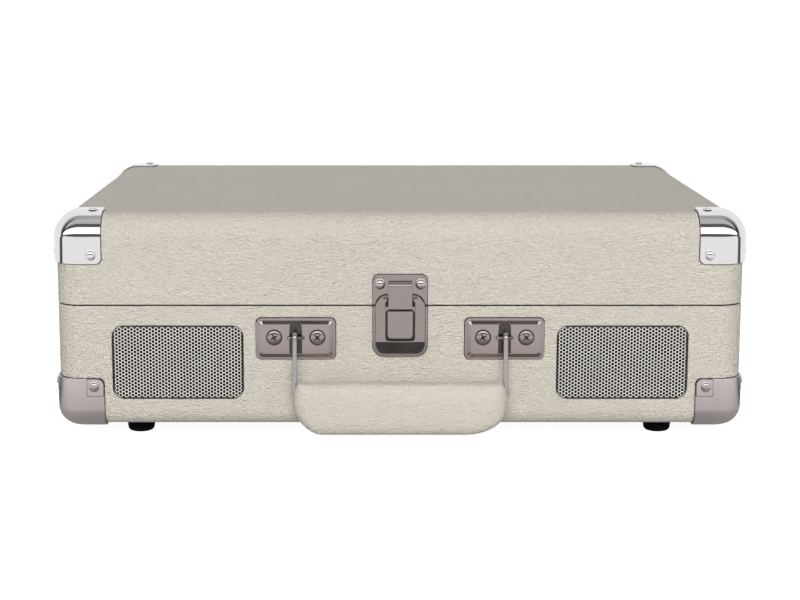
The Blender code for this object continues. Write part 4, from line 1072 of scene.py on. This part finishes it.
def make_knob(node, ribs):
    """A ribbed knob with a dished top, on a stem, and its pointer."""
    low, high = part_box(node)
    radius, top = (high.x - low.x) / 2, high.z
    foot, groove, stem = 0.0693, 0.00035, 0.0028
    dish, shallow, deep = radius - 0.0024, top - 0.0002, top - 0.0006
    turns = [2 * pi * i / (6 * ribs) for i in range(6 * ribs)]
    heights = [(0.0, foot), (0.0, foot + 0.0004), (0.0, top - 0.0012), (0.0003, top - 0.0005), (0.001, top)]
    rings = []
    for inset, z in heights:
        depths = [groove if i % 6 < 2 and z < top else 0.0 for i in range(6 * ribs)]
        reaches = [radius - inset - depth for depth in depths]
        rings.append([(r * cos(a), r * sin(a), z) for r, a in zip(reaches, turns)])
    cutter = [(0, top + 0.01), (dish, top + 0.01), (dish, shallow), (dish - 0.0006, deep), (0, deep)]
    head = boolean(loft(rings), lathe(cutter))
    body = merged(head, lathe([(0, foot), (stem, foot), (stem, low.z), (0, low.z)], 24))
    mark = soften(block((-0.0005, radius * 0.35, deep), (0.0005, dish - 0.0002, deep + 0.0003)), 0.0001)
    piece(node + "_cap", moved(body, upright(node)), BLACK, node)
    pointer = piece(node + "_mark", moved(mark, upright(node)), WHITE, body=BODIES[node])


def make_dial(node, joint, count):
    """Ticks printed on the deck round a knob, spread over the range that it turns."""
    low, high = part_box(node)
    near, half, length = (high.x - low.x) / 2 + 0.0012, 0.0002, 0.0018
    start, end = JOINTS[joint]["range_deg"]
    ticks = []
    for i in range(count):
        turn = radians(start + (end - start) * i / (count - 1))
        tick = block((-half, near, DECK_TOP - 0.0001), (half, near + length, DECK_TOP + 0.00006))
        ticks.append(moved(tick, upright(node) @ Matrix.Rotation(-turn, 4, "Z")))
    piece(node + "_dial", merged(*ticks), WHITE, body="case", flat=True)


# CAD nodes whose shape is right: material, how far the edges are rounded, and their names
REFINED = (
    (DECK, 0.0004, "deck_plate"),
    (STEEL, 0.0001, "motor_pulley"),
    (BLACK, 0.0003, "tonearm_base", "tonearm_gimbal", "headshell", "armrest", "arm_clip", "cue_lever"),
    (BLACK, 0.0003, "speed_switch", "autostop_switch", "adapter_45"),
    (BLACK, 0.0004, "tonearm_tube"),
    (RED, 0.0003, "cartridge"),
    (BLACK, 0.0002, "cue_platform", "rear_jack_panel", "dc_jack"),
    (STEEL, 0.0002, "rca_jacks"),
    (BOARD, 0.0004, "bottom_panel"),
)


def make_deck_parts():
    for material, width, *nodes in REFINED:
        for node in nodes:
            refine(node, material, width)
    for control, ribs, ticks in (("volume", 24, 11), ("function", 18, 3), ("pitch", 18, 7)):
        make_knob(f"{control}_knob", ribs)
        make_dial(f"{control}_knob", f"{control}_turn", ticks)
    plain = {"motor": STEEL, "drive_belt": RUBBER, "circuit_board": CIRCUIT}
    for side, _sign in SIDES:
        plain |= {f"speaker_cone_{side}": PAPER, f"speaker_driver_{side}": STEEL}
    for node, material in plain.items():
        mesh = frame["nodes"][node].data
        for number in range(len(mesh.materials)):
            mesh.materials[number] = material


# Camera, floor and light


def make_camera():
    data = bpy.data.cameras.new("camera")
    data.lens = 80.333
    data.sensor_width = 36
    data.shift_x = 0.03587
    camera = linked("camera", data)
    camera.location = (-0.01512, -1.047375, 0.2397)
    camera.rotation_euler = (radians(90 - 10.058), 0, 0)
    bpy.context.scene.camera = camera


# Angles in degrees from the front horizon, over the top, to the back one, each with its brightness
REFLECTED = ((0, 0.88), (2, 0.88), (4, 0.09), (15, 0.09), (17, 1.8), (41, 1.8), (45, 0.10), (58, 0.10))
REFLECTED += ((61, 0.5), (97.5, 0.5), (99.5, 0.1), (101.5, 0.1), (103, 0.88), (180, 0.88))
SPREAD = ((0, 0.26), (20, 0.26), (22, 15.4), (37, 15.4), (39, 0.08), (140, 0.08), (155, 1.2), (180, 1.2))
# The dark flags beside the case, by angle from the front
FLAGS = ((0, 1.0), (74, 1.0), (78, 0.08), (87, 0.08), (91, 1.0), (180, 1.0))


def ray_split(tree, camera, glossy, spread):
    """One look for the camera, one for mirrors, and one that lights everything else."""
    path = tree.node("LightPath")
    unseen = tree.node("MixShader", {0: path.outputs["Is Glossy Ray"], 1: spread, 2: glossy}).outputs[0]
    return tree.node("MixShader", {0: path.outputs["Is Camera Ray"], 1: unseen, 2: camera}).outputs[0]


def side_angle(tree, x, y):
    """The angle to the left or right of straight ahead, in degrees."""
    aside = tree.maths("ARCTAN2", tree.maths("ABSOLUTE", x), tree.maths("MULTIPLY", y, -1))
    return tree.maths("DEGREES", aside)


def make_floor():
    """White to the camera. The case sees it dark close by and bright far off."""
    mesh = bpy.data.meshes.new("floor")
    mesh.from_pydata([(-40, -40, 0), (40, -40, 0), (40, 40, 0), (-40, 40, 0)], [], [(0, 1, 2, 3)])
    material = bpy.data.materials.new("pale_floor")
    material.use_nodes = True
    tree = Tree(material.node_tree)
    place = tree.node("TexCoord").outputs["Object"]
    split = tree.node("SeparateXYZ", {0: place}).outputs
    distance = tree.node("VectorMath", {0: place}, operation="LENGTH").outputs["Value"]
    nearness = tree.spread(distance, 0.17, 0.42, 0.2, 0.88)
    flags = tree.ramp(side_angle(tree, split["X"], split["Y"]), FLAGS)
    mirrored_light = tree.node("Emission", {"Strength": tree.maths("MULTIPLY", nearness, flags)}).outputs[0]
    own = tree.node("Emission", {"Strength": 0.94}).outputs[0]
    shaded = tree.node("BsdfDiffuse", {"Color": (0.45, 0.45, 0.45, 1)}).outputs[0]
    camera = tree.node("AddShader", {0: own, 1: shaded}).outputs[0]
    spread = tree.node("Emission", {"Strength": tree.spread(distance, 0.15, 0.6, 0.42, 0.62)}).outputs[0]
    tree.put(tree.nodes["Material Output"].inputs["Surface"], ray_split(tree, camera, mirrored_light, spread))
    mesh.materials.append(material)
    floor = linked("floor", mesh)


def make_world():
    """A studio in bands round the case's long axis, with dark flags at its sides."""
    world = bpy.data.worlds.new("studio")
    bpy.context.scene.world = world
    world.use_nodes = True
    tree = Tree(world.node_tree)
    split = tree.node("SeparateXYZ", {0: tree.node("TexCoord").outputs["Generated"]}).outputs
    rise = tree.maths("ARCTAN2", split["Z"], tree.maths("MULTIPLY", split["Y"], -1))
    angle = tree.maths("DEGREES", rise)
    flags = tree.ramp(side_angle(tree, split["X"], split["Y"]), FLAGS)
    bands = tree.ramp(angle, REFLECTED)

    def background(strength):
        return tree.node("Background", {"Color": (1, 1, 1, 1), "Strength": strength}).outputs[0]

    glossy = background(tree.maths("MULTIPLY", bands, flags))
    falloff = tree.spread(tree.maths("ABSOLUTE", split["X"]), 0.15, 0.5, 1.0, 0.06)
    spread = background(tree.maths("MULTIPLY", tree.ramp(angle, SPREAD), falloff))
    seen = ray_split(tree, background(1.0), glossy, spread)
    tree.put(tree.nodes["World Output"].inputs["Surface"], seen)


make_camera()
make_tub()
make_lid()
make_caps()
for side, _sign in SIDES:
    make_grille(side)
    make_bracket(side)
make_lid_plate()
make_keeper()
make_hasp()
make_bail()
make_grip()
make_feet()
make_hinges()
make_platter()
make_deck_parts()
make_floor()
make_world()
bpy.context.scene.view_settings.view_transform = "Standard"
